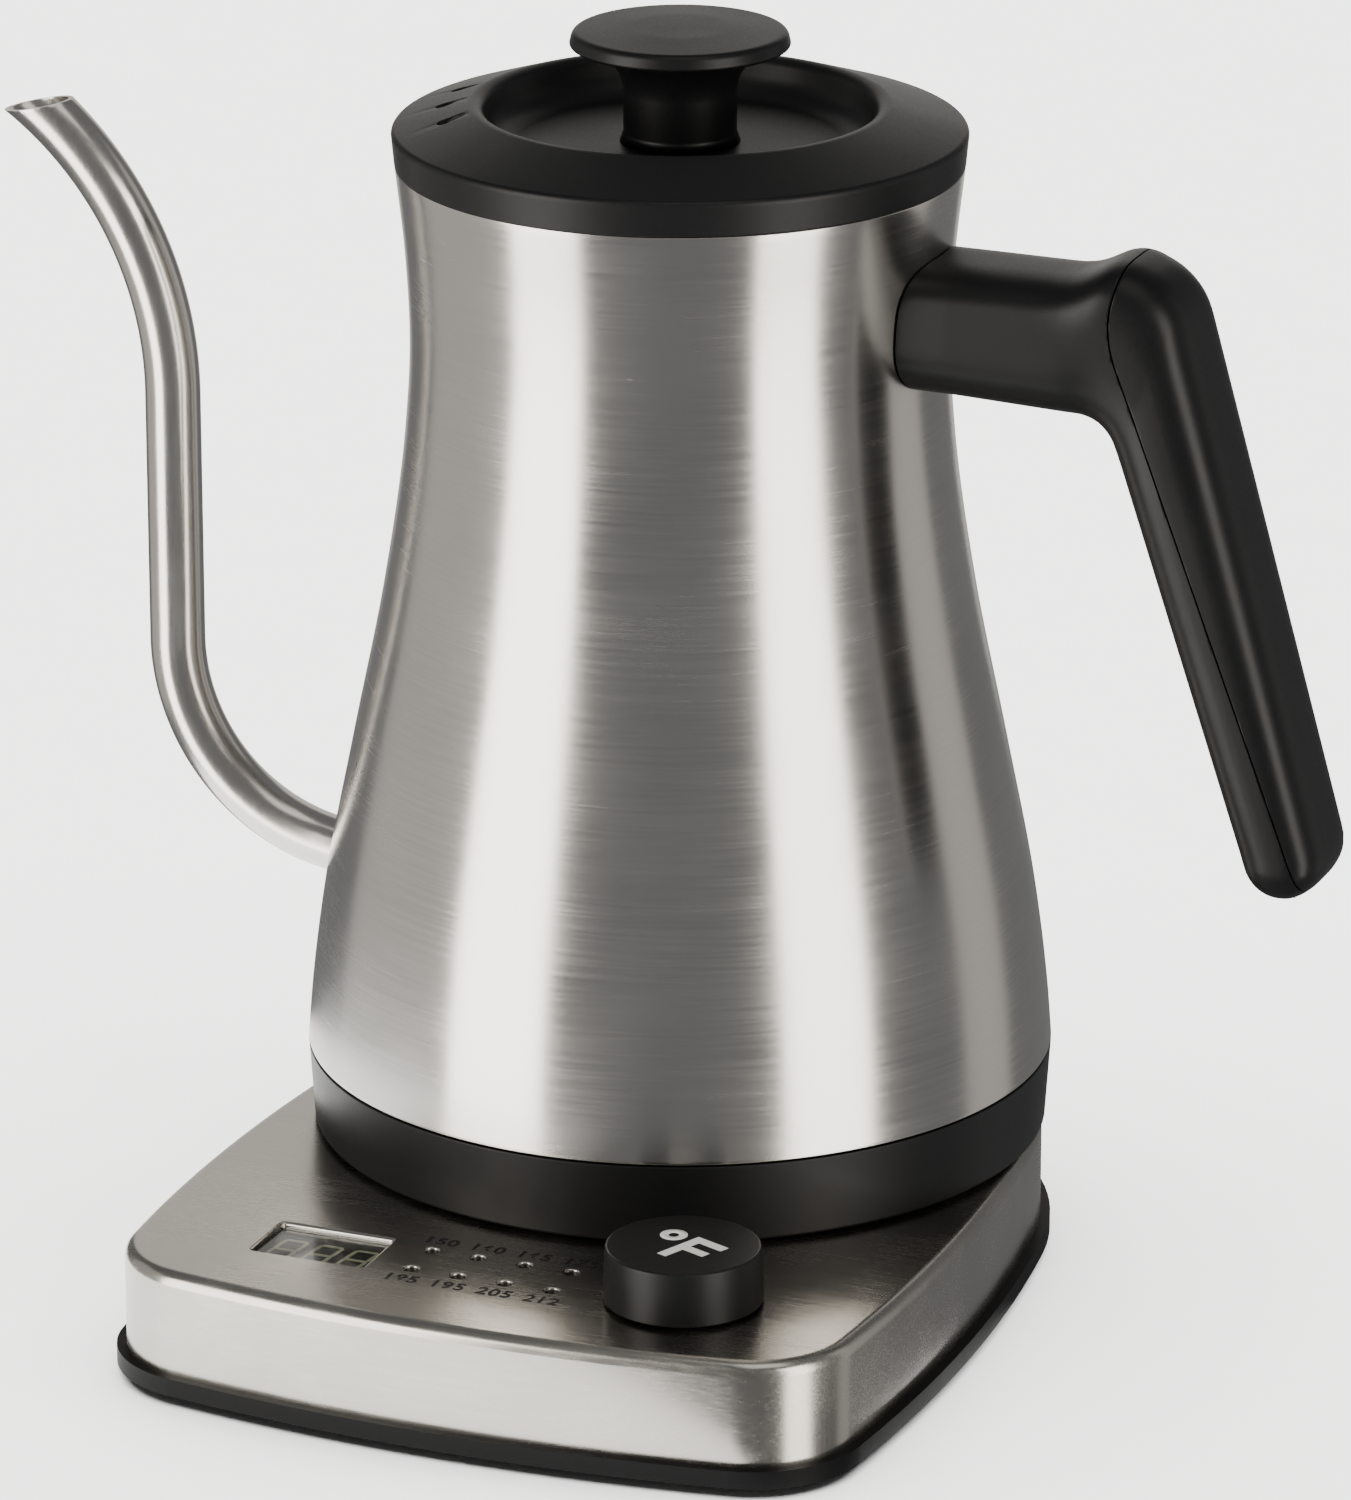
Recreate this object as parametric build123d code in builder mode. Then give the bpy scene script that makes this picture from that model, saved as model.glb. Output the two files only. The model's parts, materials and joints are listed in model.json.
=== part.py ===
from build123d import *
from math import cos, hypot, radians, sin, sqrt, tan

# Electric gooseneck kettle that lifts off a heating base. Millimetres, +Z up.
# The origin is the middle of the outline's bounding box, on the surface the feet stand on.
# +X points to the handle, -X to the spout and -Y to the control panel.
# Lengths below are measured from the kettle's own upright axis unless a comment says otherwise.

# ---- driving dimensions: base outline and heights ----
HALF_WIDTH = 74.3            # widest half width of the base
WIDEST_Y = -52.6             # where the base is widest
SIDE_RADIUS = 420.0          # the long bowed sides
FRONT_Y = -116.9             # middle of the bowed front edge
FRONT_BOW = 7.5              # how far the front edge falls back at its corners
CORNER_RADIUS = 21.3
FOOT_HEIGHT = 2.0            # rubber feet below the tray
RIM_TOP = 5.4                # top of the tray's visible rim
BASE_TOP = 25.1              # top of the steel cover
COVER_INSET = 1.85           # the steel cover stands this far inside the rim
COVER_WALL = 0.8
COVER_EDGE = 2.6             # rounded top edge of the steel cover

# ---- driving dimensions: kettle ----
SKIRT_BOTTOM = 25.7
SKIRT_RADIUS = 69.0          # at its bottom edge
BODY_FOOT = 41.3             # lower edge of the steel body
BODY_FOOT_RADIUS = 70.0
FOOT_BAND_TOP = 50.0         # the body is a plain cone up to here
FOOT_BAND_RADIUS = 69.3
BODY_RIM = 210.3
BODY_WALL = 0.8
FLANK = [(66.76, 70), (60.94, 100), (54.86, 130), (50.61, 160), (49.64, 176), (50.3, 193)]
BODY_RIM_RADIUS = 52.1

# ---- driving dimensions: spout, a tube bent in the X-Z plane ----
SPOUT_RADIUS = 5.25
SPOUT_BORE = 4.55
SPOUT_RUN_X = -103.3         # upright run
SPOUT_ROOT = (-58.0, 65.8)   # inside the vessel, before trimming
SPOUT_ROOT_ANGLE = 12.5      # degrees above level
LOWER_BEND = 38.0
UPPER_BEND = 67.0
UPPER_BEND_START = 155.0
UPPER_BEND_TURN = 62.0       # degrees, past the mouth before trimming
MOUTH = (-130.1, 208.3)      # middle of the cut mouth
MOUTH_TILT = 12.3            # degrees, lower at the tip

# ---- driving dimensions: handle ----
ARM_TOP = 197.2
ARM_BOTTOM = 173.8
HANDLE_OUTLINE = [(44, ARM_TOP), (78.5, ARM_TOP), (87.5, 202.4), (98.4, 197.8),
                  (130.4, 86.0), (114.5, 86.0), (84.9, 172.3), (44, ARM_BOTTOM)]
HANDLE_BENDS = [16, 7.6, 14, 7.6, 7.6, 9]
HANDLE_HALF = 13.2           # half thickness from side to side
HANDLE_EDGE = 7.0
SEAM = 0.25                  # shadow gap between the two shells

# ---- driving dimensions: controls ----
KNOB_X, KNOB_Y = 35.8, -86.8
KNOB_RADIUS = 14.45
KNOB_TOP_RADIUS = 14.1
KNOB_BOTTOM = 25.7
KNOB_TOP = 35.8
LAMP_PITCH = 9.16
LAMP_CENTRE = (-1.46, -87.05)
LAMP_RADIUS = 1.35
WINDOW_CENTRE = (-34.8, -87.2)
WINDOW_SIZE = (22.0, 13.9)

# ---- driving dimensions: connector ----
HUB_RADIUS = 21.7
HUB_TOP = 28.2               # the kettle rests on this ring
GROOVE_INNER = 8.0
GROOVE_OUTER = 17.0
GROOVE_FLOOR = 14.0
SHUTTER_TOP = 17.2
RUNNING_GAP = 0.3

# ---- derived places ----
SPOUT_REACH = 136.76         # tip of the spout from the axis
HANDLE_REACH = 127.92        # outside of the grip from the axis
BACK_RADIUS = SIDE_RADIUS - hypot(HALF_WIDTH - SIDE_RADIUS, WIDEST_Y)
AXIS_X = (SPOUT_REACH - HANDLE_REACH) / 2
AXIS_Y = (-FRONT_Y - BACK_RADIUS) / 2

AXIS = Axis((AXIS_X, AXIS_Y, 0), (0, 0, 1))
SIDE = Plane(origin=(AXIS_X, AXIS_Y, 0), x_dir=(1, 0, 0), z_dir=(0, -1, 0))
STANDING = (Align.CENTER, Align.CENTER, Align.MIN)    # a cylinder that stands on its place


def level(height):
    """A level plane whose origin is on the kettle's axis."""
    return Plane(origin=(AXIS_X, AXIS_Y, height))


def base_outline(inset):
    """The base seen from above, drawn this far inside its widest edge."""
    side = SIDE_RADIUS - inset
    side_centre_x = HALF_WIDTH - SIDE_RADIUS
    back = BACK_RADIUS - inset
    reach = hypot(side_centre_x, WIDEST_Y)
    join_x = -back * side_centre_x / reach
    join_y = -back * WIDEST_Y / reach
    front = FRONT_Y + inset
    corner_y = front + FRONT_BOW
    corner_x = side_centre_x + sqrt(side**2 - (corner_y - WIDEST_Y)**2)
    widest_x = HALF_WIDTH - inset
    with BuildSketch(mode=Mode.PRIVATE) as outline:
        with BuildLine():
            ThreePointArc((join_x, join_y), (0, back), (-join_x, join_y))
            ThreePointArc((-join_x, join_y), (-widest_x, WIDEST_Y), (-corner_x, corner_y))
            ThreePointArc((-corner_x, corner_y), (0, front), (corner_x, corner_y))
            ThreePointArc((corner_x, corner_y), (widest_x, WIDEST_Y), (join_x, join_y))
        make_face()
        fillet(outline.vertices().group_by(Axis.Y)[0], CORNER_RADIUS - inset)
    return outline.sketch_local


def finish(piece, name):
    """Label a finished piece and write it to its own file."""
    piece.part.label = name
    export_step(piece.part, f"parts/{name}.step")


# ======================================================================
# Kettle: steel vessel
# ======================================================================
def flank(wall):
    """The body's curved side from the foot band to the rim, moved in by a wall."""
    points = [(FOOT_BAND_RADIUS, FOOT_BAND_TOP)] + FLANK + [(BODY_RIM_RADIUS, BODY_RIM)]
    foot_lean = (FOOT_BAND_RADIUS - BODY_FOOT_RADIUS) / (FOOT_BAND_TOP - BODY_FOOT)
    return Spline(*[(r - wall, z) for r, z in points], tangents=[(foot_lean, 1), (0.14, 1)])


def full_round(wall):
    """Solid of everything inside the body's side, moved in by a wall."""
    with BuildPart(mode=Mode.PRIVATE) as blank:
        with BuildSketch(SIDE):
            with BuildLine():
                Line((0, BODY_FOOT), (BODY_FOOT_RADIUS - wall, BODY_FOOT))
                Line((BODY_FOOT_RADIUS - wall, BODY_FOOT), (FOOT_BAND_RADIUS - wall, FOOT_BAND_TOP))
                flank(wall)
                Line((BODY_RIM_RADIUS - wall, BODY_RIM), (0, BODY_RIM))
                Line((0, BODY_RIM), (0, BODY_FOOT))
            make_face()
        revolve(axis=AXIS)
    return blank.part


body_outside = full_round(0)
body_inside = full_round(BODY_WALL)

# the spout's middle line: slanted root, lower bend, upright run, upper bend
root_dir = (-cos(radians(SPOUT_ROOT_ANGLE)), sin(radians(SPOUT_ROOT_ANGLE)))
root_run = (SPOUT_RUN_X - SPOUT_ROOT[0]) / root_dir[0]
bend_corner = (SPOUT_RUN_X, SPOUT_ROOT[1] + root_run * root_dir[1])
turn = radians(UPPER_BEND_TURN)
with BuildLine(SIDE) as spout_line:
    lower = FilletPolyline(SPOUT_ROOT, bend_corner, (SPOUT_RUN_X, UPPER_BEND_START), radius=LOWER_BEND)
    RadiusArc(lower @ 1, (SPOUT_RUN_X - UPPER_BEND * (1 - cos(turn)),
                          UPPER_BEND_START + UPPER_BEND * sin(turn)), -UPPER_BEND)

with BuildPart() as kettle_body:
    add(body_outside)
    add(body_inside, mode=Mode.SUBTRACT)
    with BuildSketch(Plane(origin=spout_line.line @ 0, z_dir=spout_line.line % 0)):
        Circle(SPOUT_RADIUS)
    sweep(path=spout_line.line, mode=Mode.SUBTRACT)
finish(kettle_body, "kettle_body")

mouth_cut = Plane(origin=SIDE.from_local_coords((MOUTH[0], MOUTH[1], 0)),
                  z_dir=(-sin(radians(MOUTH_TILT)), 0, cos(radians(MOUTH_TILT))))
with BuildPart() as spout_tube:
    with BuildSketch(Plane(origin=spout_line.line @ 0, z_dir=spout_line.line % 0)):
        Circle(SPOUT_RADIUS)
        Circle(SPOUT_BORE, mode=Mode.SUBTRACT)
    sweep(path=spout_line.line)
    split(bisect_by=mouth_cut, keep=Keep.BOTTOM)
    add(body_inside, mode=Mode.SUBTRACT)
finish(spout_tube, "spout_tube")

# ---- floor of the vessel, with the heater brazed under it ----
FLOOR_BOTTOM = 47.0
FLOOR_WALL = 1.0
FLOOR_RADIUS = 68.4
PLATE_THICK = 3.5
PLATE_RADIUS = 52.0
ELEMENT_RADIUS = 3.3
ELEMENT_RING = 40.0
ELEMENT_SWEEP = 300
PIN_RADIUS = 1.6             # the element's two cold pins
PIN_LENGTH = 8.0
PIN_ANGLE = 4                # degrees from each end of the element

with BuildPart() as vessel_floor:
    with BuildSketch(level(FLOOR_BOTTOM)):
        Circle(FLOOR_RADIUS)
    extrude(amount=FLOOR_WALL)
finish(vessel_floor, "vessel_floor")

plate_bottom = FLOOR_BOTTOM - PLATE_THICK
with BuildPart() as heater_plate:
    with BuildSketch(level(plate_bottom)):
        Circle(PLATE_RADIUS)
    extrude(amount=PLATE_THICK)
finish(heater_plate, "heater_plate")

element_z = plate_bottom - ELEMENT_RADIUS
with BuildPart() as heating_element:
    with BuildSketch(Plane(origin=(AXIS_X + ELEMENT_RING, AXIS_Y, element_z), z_dir=(0, 1, 0))):
        Circle(ELEMENT_RADIUS)
    revolve(axis=AXIS, revolution_arc=ELEMENT_SWEEP)
    with BuildSketch(level(element_z - PIN_LENGTH)):
        with PolarLocations(ELEMENT_RING, 2, start_angle=PIN_ANGLE,
                            angular_range=ELEMENT_SWEEP - 2 * PIN_ANGLE, endpoint=True):
            Circle(PIN_RADIUS)
    extrude(amount=PIN_LENGTH)
finish(heating_element, "heating_element")

SENSOR_AT = (12.0, 14.0)
SENSOR_RADIUS = 4.0
SENSOR_HEIGHT = 6.0
SENSOR_PLUG = (5.0, 2.4)
SENSOR_PLUG_HEIGHT = 3.0
with BuildPart() as temperature_sensor:
    with BuildSketch(level(plate_bottom - SENSOR_HEIGHT)):
        with Locations(SENSOR_AT):
            Circle(SENSOR_RADIUS)
    extrude(amount=SENSOR_HEIGHT)
    with BuildSketch(level(plate_bottom - SENSOR_HEIGHT - SENSOR_PLUG_HEIGHT)):
        with Locations(SENSOR_AT):
            Rectangle(*SENSOR_PLUG)
    extrude(amount=SENSOR_PLUG_HEIGHT)
finish(temperature_sensor, "temperature_sensor")

CUTOUT_AT = (-13.0, -14.0)
CUTOUT_SIZE = (17.0, 15.0)
CUTOUT_HEIGHT = 8.0
CUTOUT_CORNER = 2.0
with BuildPart() as thermal_cutout:
    with BuildSketch(level(plate_bottom - CUTOUT_HEIGHT)):
        with Locations(CUTOUT_AT):
            RectangleRounded(*CUTOUT_SIZE, CUTOUT_CORNER)
    extrude(amount=CUTOUT_HEIGHT)
finish(thermal_cutout, "thermal_cutout")

# ---- black skirt, the seal above it and the cover below ----
SKIRT_TOP = BODY_FOOT - 0.35
SKIRT_WALL = 2.2
SKIRT_EDGE = 1.2
TONGUE_TOP = 45.4            # tongue that stands up inside the steel body
TONGUE_OUTER = 68.7
TONGUE_INNER = 66.9
SEAL_INNER = 60.0
COVER_PLATE_BOTTOM = 26.2
COVER_PLATE_TOP = HUB_TOP

with BuildPart() as skirt_ring:
    with BuildSketch(SIDE):
        with BuildLine():
            Polyline((SKIRT_RADIUS, SKIRT_BOTTOM), (BODY_FOOT_RADIUS, SKIRT_TOP), (TONGUE_OUTER, SKIRT_TOP),
                     (TONGUE_OUTER, TONGUE_TOP), (TONGUE_INNER, TONGUE_TOP),
                     (SKIRT_RADIUS - SKIRT_WALL, SKIRT_BOTTOM), close=True)
        make_face()
    revolve(axis=AXIS)
    fillet(skirt_ring.edges().group_by(Axis.Z)[0].sort_by(SortBy.RADIUS)[-1], SKIRT_EDGE)
finish(skirt_ring, "skirt_ring")

with BuildPart() as floor_seal:
    with BuildSketch(level(TONGUE_TOP)):
        Circle(FLOOR_RADIUS)
        Circle(SEAL_INNER, mode=Mode.SUBTRACT)
    extrude(amount=FLOOR_BOTTOM - TONGUE_TOP)
finish(floor_seal, "floor_seal")

COVER_SCREW_RING = 60.0
COVER_SCREW_START = 30       # degrees round from the handle side
COVER_SCREW_RADIUS = 1.5
COVER_SCREW_LENGTH = 10.0
COVER_SCREW_DEPTH = 12.0     # of the hole it goes into
COVER_POST_RADIUS = 4.0
COVER_RADIUS = SKIRT_RADIUS - SKIRT_WALL - 0.15
with BuildPart() as bottom_cover:
    with BuildSketch(level(COVER_PLATE_BOTTOM)):
        Circle(COVER_RADIUS)
        Circle(HUB_RADIUS + RUNNING_GAP, mode=Mode.SUBTRACT)
    extrude(amount=COVER_PLATE_TOP - COVER_PLATE_BOTTOM)
    with BuildSketch(level(COVER_PLATE_TOP)):
        with PolarLocations(COVER_SCREW_RING, 3, start_angle=COVER_SCREW_START):
            Circle(COVER_POST_RADIUS)
    extrude(amount=TONGUE_TOP - COVER_PLATE_TOP)
    with Locations(level(COVER_PLATE_BOTTOM)):
        with PolarLocations(COVER_SCREW_RING, 3, start_angle=COVER_SCREW_START):
            Cylinder(COVER_SCREW_RADIUS, COVER_SCREW_DEPTH, align=STANDING, mode=Mode.SUBTRACT)
finish(bottom_cover, "bottom_cover")

with BuildPart() as bottom_cover_screws:
    with BuildSketch(level(COVER_PLATE_BOTTOM)):
        with PolarLocations(COVER_SCREW_RING, 3, start_angle=COVER_SCREW_START):
            Circle(COVER_SCREW_RADIUS)
    extrude(amount=COVER_SCREW_LENGTH)
finish(bottom_cover_screws, "bottom_cover_screws")

# ---- round connector under the kettle: a tube and a pin that drop into the base socket ----
FLANGE_RADIUS = 27.0
FLANGE_TOP = HUB_TOP + 2.0
CAP_RADIUS = 18.0
CAP_HEIGHT = 2.0
PIN_TAIL = 3.0               # of the earth pin above the flange
PIN_TIP = 0.8                # rounding at its lower end
TUBE_INNER = 9.6
TUBE_OUTER = 16.0
TUBE_BOTTOM = SHUTTER_TOP + RUNNING_GAP
EARTH_PIN = 2.2
PIN_BOTTOM = 16.0

with BuildPart() as kettle_connector:
    with BuildSketch(level(HUB_TOP)):
        Circle(FLANGE_RADIUS)
    extrude(amount=FLANGE_TOP - HUB_TOP)
    with BuildSketch(level(TUBE_BOTTOM)):
        Circle(TUBE_OUTER)
        Circle(TUBE_INNER, mode=Mode.SUBTRACT)
    extrude(amount=HUB_TOP - TUBE_BOTTOM)
    with BuildSketch(level(FLANGE_TOP)):
        Circle(CAP_RADIUS)
    extrude(amount=CAP_HEIGHT)
    pin_hole_depth = FLANGE_TOP + CAP_HEIGHT - HUB_TOP
    with BuildSketch(level(HUB_TOP)):
        Circle(EARTH_PIN)
    extrude(amount=pin_hole_depth, mode=Mode.SUBTRACT)
finish(kettle_connector, "kettle_connector")

with BuildPart() as earth_pin:
    with BuildSketch(level(PIN_BOTTOM)):
        Circle(EARTH_PIN)
    extrude(amount=FLANGE_TOP + PIN_TAIL - PIN_BOTTOM)
    fillet(earth_pin.edges().sort_by(Axis.Z)[0], PIN_TIP)
finish(earth_pin, "earth_pin")

# ======================================================================
# Kettle: handle of two shells on a steel strap
# ======================================================================
STRAP_THICK = 3.0
STRAP_HALF = 6.0
STRAP_Z = 185.5
STRAP_BEND_X = 95.0
STRAP_BEND = 9.0
GRIP_LEAN = radians(16.5)
STRAP_DROP = 66.0
STRAP_START = 45.0           # inside the vessel, before trimming
CAVITY_WIDTH = 9.0
CAVITY_HALF = 7.5
CAVITY_EXTRA = 3.0           # the hollow runs on past the strap's end
PARTING_LINE = [(90.5, 215), (86.9, 190), (119.5, 103.9), (129, 78)]
PARTING_BEND = 24.0
PARTING_REACH = 150.0        # well outside the grip
strap_end = (STRAP_BEND_X + STRAP_DROP * sin(GRIP_LEAN), STRAP_Z - STRAP_DROP * cos(GRIP_LEAN))


def strap_sketch(width, extra):
    """Side view of the bent strap, drawn at a width; extra lengthens it at the grip."""
    half = width / 2
    corner = half * tan((radians(90) - GRIP_LEAN) / 2)
    end_x = strap_end[0] + extra * sin(GRIP_LEAN)
    end_z = strap_end[1] - extra * cos(GRIP_LEAN)
    across = (half * cos(GRIP_LEAN), half * sin(GRIP_LEAN))
    with BuildSketch(mode=Mode.PRIVATE) as strap:
        with BuildLine():
            upper = FilletPolyline((STRAP_START, STRAP_Z + half), (STRAP_BEND_X + corner, STRAP_Z + half),
                                   (end_x + across[0], end_z + across[1]), radius=STRAP_BEND + half)
            lower = FilletPolyline((STRAP_START, STRAP_Z - half), (STRAP_BEND_X - corner, STRAP_Z - half),
                                   (end_x - across[0], end_z - across[1]), radius=STRAP_BEND - half)
            Line(upper @ 1, lower @ 1)
            Line(lower @ 0, upper @ 0)
        make_face()
    return strap.sketch_local


def parting_sketch(shift):
    """Side view of everything behind the seam between the two handle shells."""
    with BuildSketch(mode=Mode.PRIVATE) as behind:
        with BuildLine():
            seam = FilletPolyline(*[(x + shift, z) for x, z in PARTING_LINE], radius=PARTING_BEND)
            Polyline(seam @ 1, (PARTING_REACH, PARTING_LINE[-1][1]),
                     (PARTING_REACH, PARTING_LINE[0][1]), seam @ 0)
        make_face()
    return behind.sketch_local


with BuildPart() as handle_blank:
    with BuildSketch(SIDE):
        with BuildLine():
            outline = FilletPolyline(*HANDLE_OUTLINE, radius=HANDLE_BENDS)
            Line(outline @ 1, outline @ 0)
        make_face()
    extrude(amount=HANDLE_HALF, both=True)
    front_edges = handle_blank.faces().sort_by(Axis.Y)[0].edges().sort_by(Axis.X)[1:]
    back_edges = handle_blank.faces().sort_by(Axis.Y)[-1].edges().sort_by(Axis.X)[1:]
    fillet(front_edges + back_edges, HANDLE_EDGE)
    with BuildSketch(SIDE.offset(-CAVITY_HALF)):
        add(strap_sketch(CAVITY_WIDTH, CAVITY_EXTRA))
    extrude(amount=2 * CAVITY_HALF, mode=Mode.SUBTRACT)
    add(body_outside, mode=Mode.SUBTRACT)

# screws that fix the inner shell to the strap, hidden by the outer shell
SCREW_DROPS = (22.0, 52.0)
SCREW_RADIUS = 1.5
SCREW_HEAD = 2.8
SCREW_HEAD_HEIGHT = 1.6
SCREW_LENGTH = 7.5
screw_into = (-cos(GRIP_LEAN), 0, -sin(GRIP_LEAN))
screw_planes = []
for drop in SCREW_DROPS:
    on_strap = SIDE.from_local_coords((STRAP_BEND_X + drop * sin(GRIP_LEAN), STRAP_Z - drop * cos(GRIP_LEAN), 0))
    screw_planes.append(Plane(origin=on_strap, x_dir=(0, 1, 0), z_dir=screw_into))

with BuildPart() as handle_screws:
    for plane in screw_planes:
        with BuildSketch(plane.offset(-STRAP_THICK / 2 - SCREW_HEAD_HEIGHT)):
            Circle(SCREW_HEAD)
        extrude(amount=SCREW_HEAD_HEIGHT)
        with BuildSketch(plane.offset(-STRAP_THICK / 2)):
            Circle(SCREW_RADIUS)
        extrude(amount=SCREW_LENGTH)
finish(handle_screws, "handle_screws")

with BuildPart() as handle_bracket:
    with BuildSketch(SIDE):
        add(strap_sketch(STRAP_THICK, 0))
    extrude(amount=STRAP_HALF, both=True)
    add(body_outside, mode=Mode.SUBTRACT)
    add(handle_screws.part, mode=Mode.SUBTRACT)
finish(handle_bracket, "handle_bracket")

with BuildPart() as handle_outer_shell:
    add(handle_blank.part)
    with BuildSketch(SIDE.offset(-HANDLE_HALF)):
        add(parting_sketch(0))
    extrude(amount=2 * HANDLE_HALF, mode=Mode.INTERSECT)
finish(handle_outer_shell, "handle_outer_shell")

with BuildPart() as handle_inner_shell:
    add(handle_blank.part)
    with BuildSketch(SIDE.offset(-HANDLE_HALF)):
        add(parting_sketch(-SEAM))
    extrude(amount=2 * HANDLE_HALF, mode=Mode.SUBTRACT)
    add(handle_screws.part, mode=Mode.SUBTRACT)
finish(handle_inner_shell, "handle_inner_shell")

# ======================================================================
# Lid
# ======================================================================
DISH_FLOOR = 214.3
LID_WALL = 2.2
VENT_RING = 41.9
VENT_ANGLES = (181.5, 197.0, 212.5)
VENT_LENGTH = 2.76           # between the centres of its round ends
VENT_WIDTH = 1.9
VENT_HOLE = 1.2              # under each vent, through the inner plate
PLUG_BOTTOM = 203.2
PLUG_RADIUS = 48.6
PLATE_WALL = 0.8
LID_SCREW_RADIUS = 2.0

with BuildPart() as lid_cover:
    with BuildSketch(SIDE):
        with BuildLine():
            top = FilletPolyline((0, DISH_FLOOR), (33.5, DISH_FLOOR), (36.6, 222.0), (52.75, 216.7),
                                 (BODY_RIM_RADIUS, BODY_RIM), radius=[6, 2.4, 1.2])
            Polyline(top @ 1, (50.0, BODY_RIM), (50.0, 215.0), (38.7, 218.6), (35.7, DISH_FLOOR - LID_WALL),
                     (0, DISH_FLOOR - LID_WALL), top @ 0)
        make_face()
    revolve(axis=AXIS)
    for angle in VENT_ANGLES:
        with BuildSketch(level(DISH_FLOOR)):
            with Locations(Location((0, 0), angle)):
                with Locations((VENT_RING, 0)):
                    SlotCenterToCenter(VENT_LENGTH, VENT_WIDTH)
        extrude(amount=10, mode=Mode.SUBTRACT)
    with BuildSketch(level(DISH_FLOOR - LID_WALL)):
        Circle(LID_SCREW_RADIUS)
    extrude(amount=LID_WALL, mode=Mode.SUBTRACT)
finish(lid_cover, "lid_cover")

with BuildPart() as lid_inner_plate:
    with BuildSketch(SIDE):
        with BuildLine() as plate_line:
            Polyline((LID_SCREW_RADIUS, DISH_FLOOR - LID_WALL - PLATE_WALL / 2),
                     (12, DISH_FLOOR - LID_WALL - PLATE_WALL / 2), (16, PLUG_BOTTOM + PLATE_WALL / 2),
                     (PLUG_RADIUS, PLUG_BOTTOM + PLATE_WALL / 2), (PLUG_RADIUS, 212.5))
        trace(plate_line.line, line_width=PLATE_WALL)
    revolve(axis=AXIS)
    with BuildSketch(level(PLUG_BOTTOM - 1)):
        with PolarLocations(VENT_RING, 3, start_angle=VENT_ANGLES[0],
                            angular_range=VENT_ANGLES[-1] - VENT_ANGLES[0], endpoint=True):
            Circle(VENT_HOLE)
    extrude(amount=3, mode=Mode.SUBTRACT)
finish(lid_inner_plate, "lid_inner_plate")

SEAL_BOTTOM = 205.4
SEAL_TOP = 208.8
SEAL_OUTER = 50.4
with BuildPart() as lid_seal:
    with BuildSketch(level(SEAL_BOTTOM)):
        Circle(SEAL_OUTER)
        Circle(PLUG_RADIUS + PLATE_WALL / 2, mode=Mode.SUBTRACT)
    extrude(amount=SEAL_TOP - SEAL_BOTTOM)
finish(lid_seal, "lid_seal")

STEM_RADIUS = 10.35
DISC_RADIUS = 20.1
DISC_BOTTOM = 232.2
KNOB_CROWN = 235.7
SCREW_REACH = 226.0
LID_SCREW_HEAD = 4.0
LID_SCREW_HEAD_HEIGHT = 2.2
with BuildPart() as lid_knob:
    with BuildSketch(SIDE):
        with BuildLine():
            edge = FilletPolyline((0, DISH_FLOOR), (10.8, DISH_FLOOR), (STEM_RADIUS, 216.0),
                                  (STEM_RADIUS, 230.4), (DISC_RADIUS - 1.2, 231.8), (DISC_RADIUS + 0.1, DISC_BOTTOM),
                                  (DISC_RADIUS - 0.5, 235.2), (0, KNOB_CROWN), radius=[0.3, 0.8, 7.5, 0.4, 0.6, 0.9])
            Line(edge @ 1, edge @ 0)
        make_face()
    revolve(axis=AXIS)
    with BuildSketch(level(DISH_FLOOR)):
        Circle(LID_SCREW_RADIUS)
    extrude(amount=SCREW_REACH - DISH_FLOOR, mode=Mode.SUBTRACT)
finish(lid_knob, "lid_knob")

with BuildPart() as lid_screw:
    head_bottom = DISH_FLOOR - LID_WALL - PLATE_WALL - LID_SCREW_HEAD_HEIGHT
    with BuildSketch(level(head_bottom)):
        Circle(LID_SCREW_HEAD)
    extrude(amount=LID_SCREW_HEAD_HEIGHT)
    with BuildSketch(level(head_bottom)):
        Circle(LID_SCREW_RADIUS)
    extrude(amount=SCREW_REACH - head_bottom)
finish(lid_screw, "lid_screw")

# ======================================================================
# Base: tray, cover and carrier
# ======================================================================
TRAY_FLOOR = 4.0
TRAY_LIP_TOP = 9.0
TRAY_RIM_WALL = 5.0
CARRIER_THICK = 1.8
CARRIER_TOP = BASE_TOP - COVER_WALL
CARRIER_BOTTOM = CARRIER_TOP - CARRIER_THICK
SCREW_PLACES = [(-57, -66), (57, -66), (-50, 28), (50, 28)]
FOOT_PLACES = [(-54, -92), (54, -92), (-36, 46), (36, 46)]
FOOT_RADIUS = 8.0
BOSS_RADIUS = 3.8
BASE_SCREW = 1.6
BASE_SCREW_HEAD = 3.0
BASE_SCREW_HEAD_HEIGHT = 1.2
BASE_SCREW_LENGTH = 12.0
FOOT_CHAMFER = 0.4
INLET_Z = 14.5
INLET_BORE = 3.4
GLAND_RADIUS = 5.5
GLAND_FLANGE = 7.0
inlet_plane = Plane(origin=(AXIS_X, AXIS_Y, INLET_Z), x_dir=(1, 0, 0), z_dir=(0, 1, 0))

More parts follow.
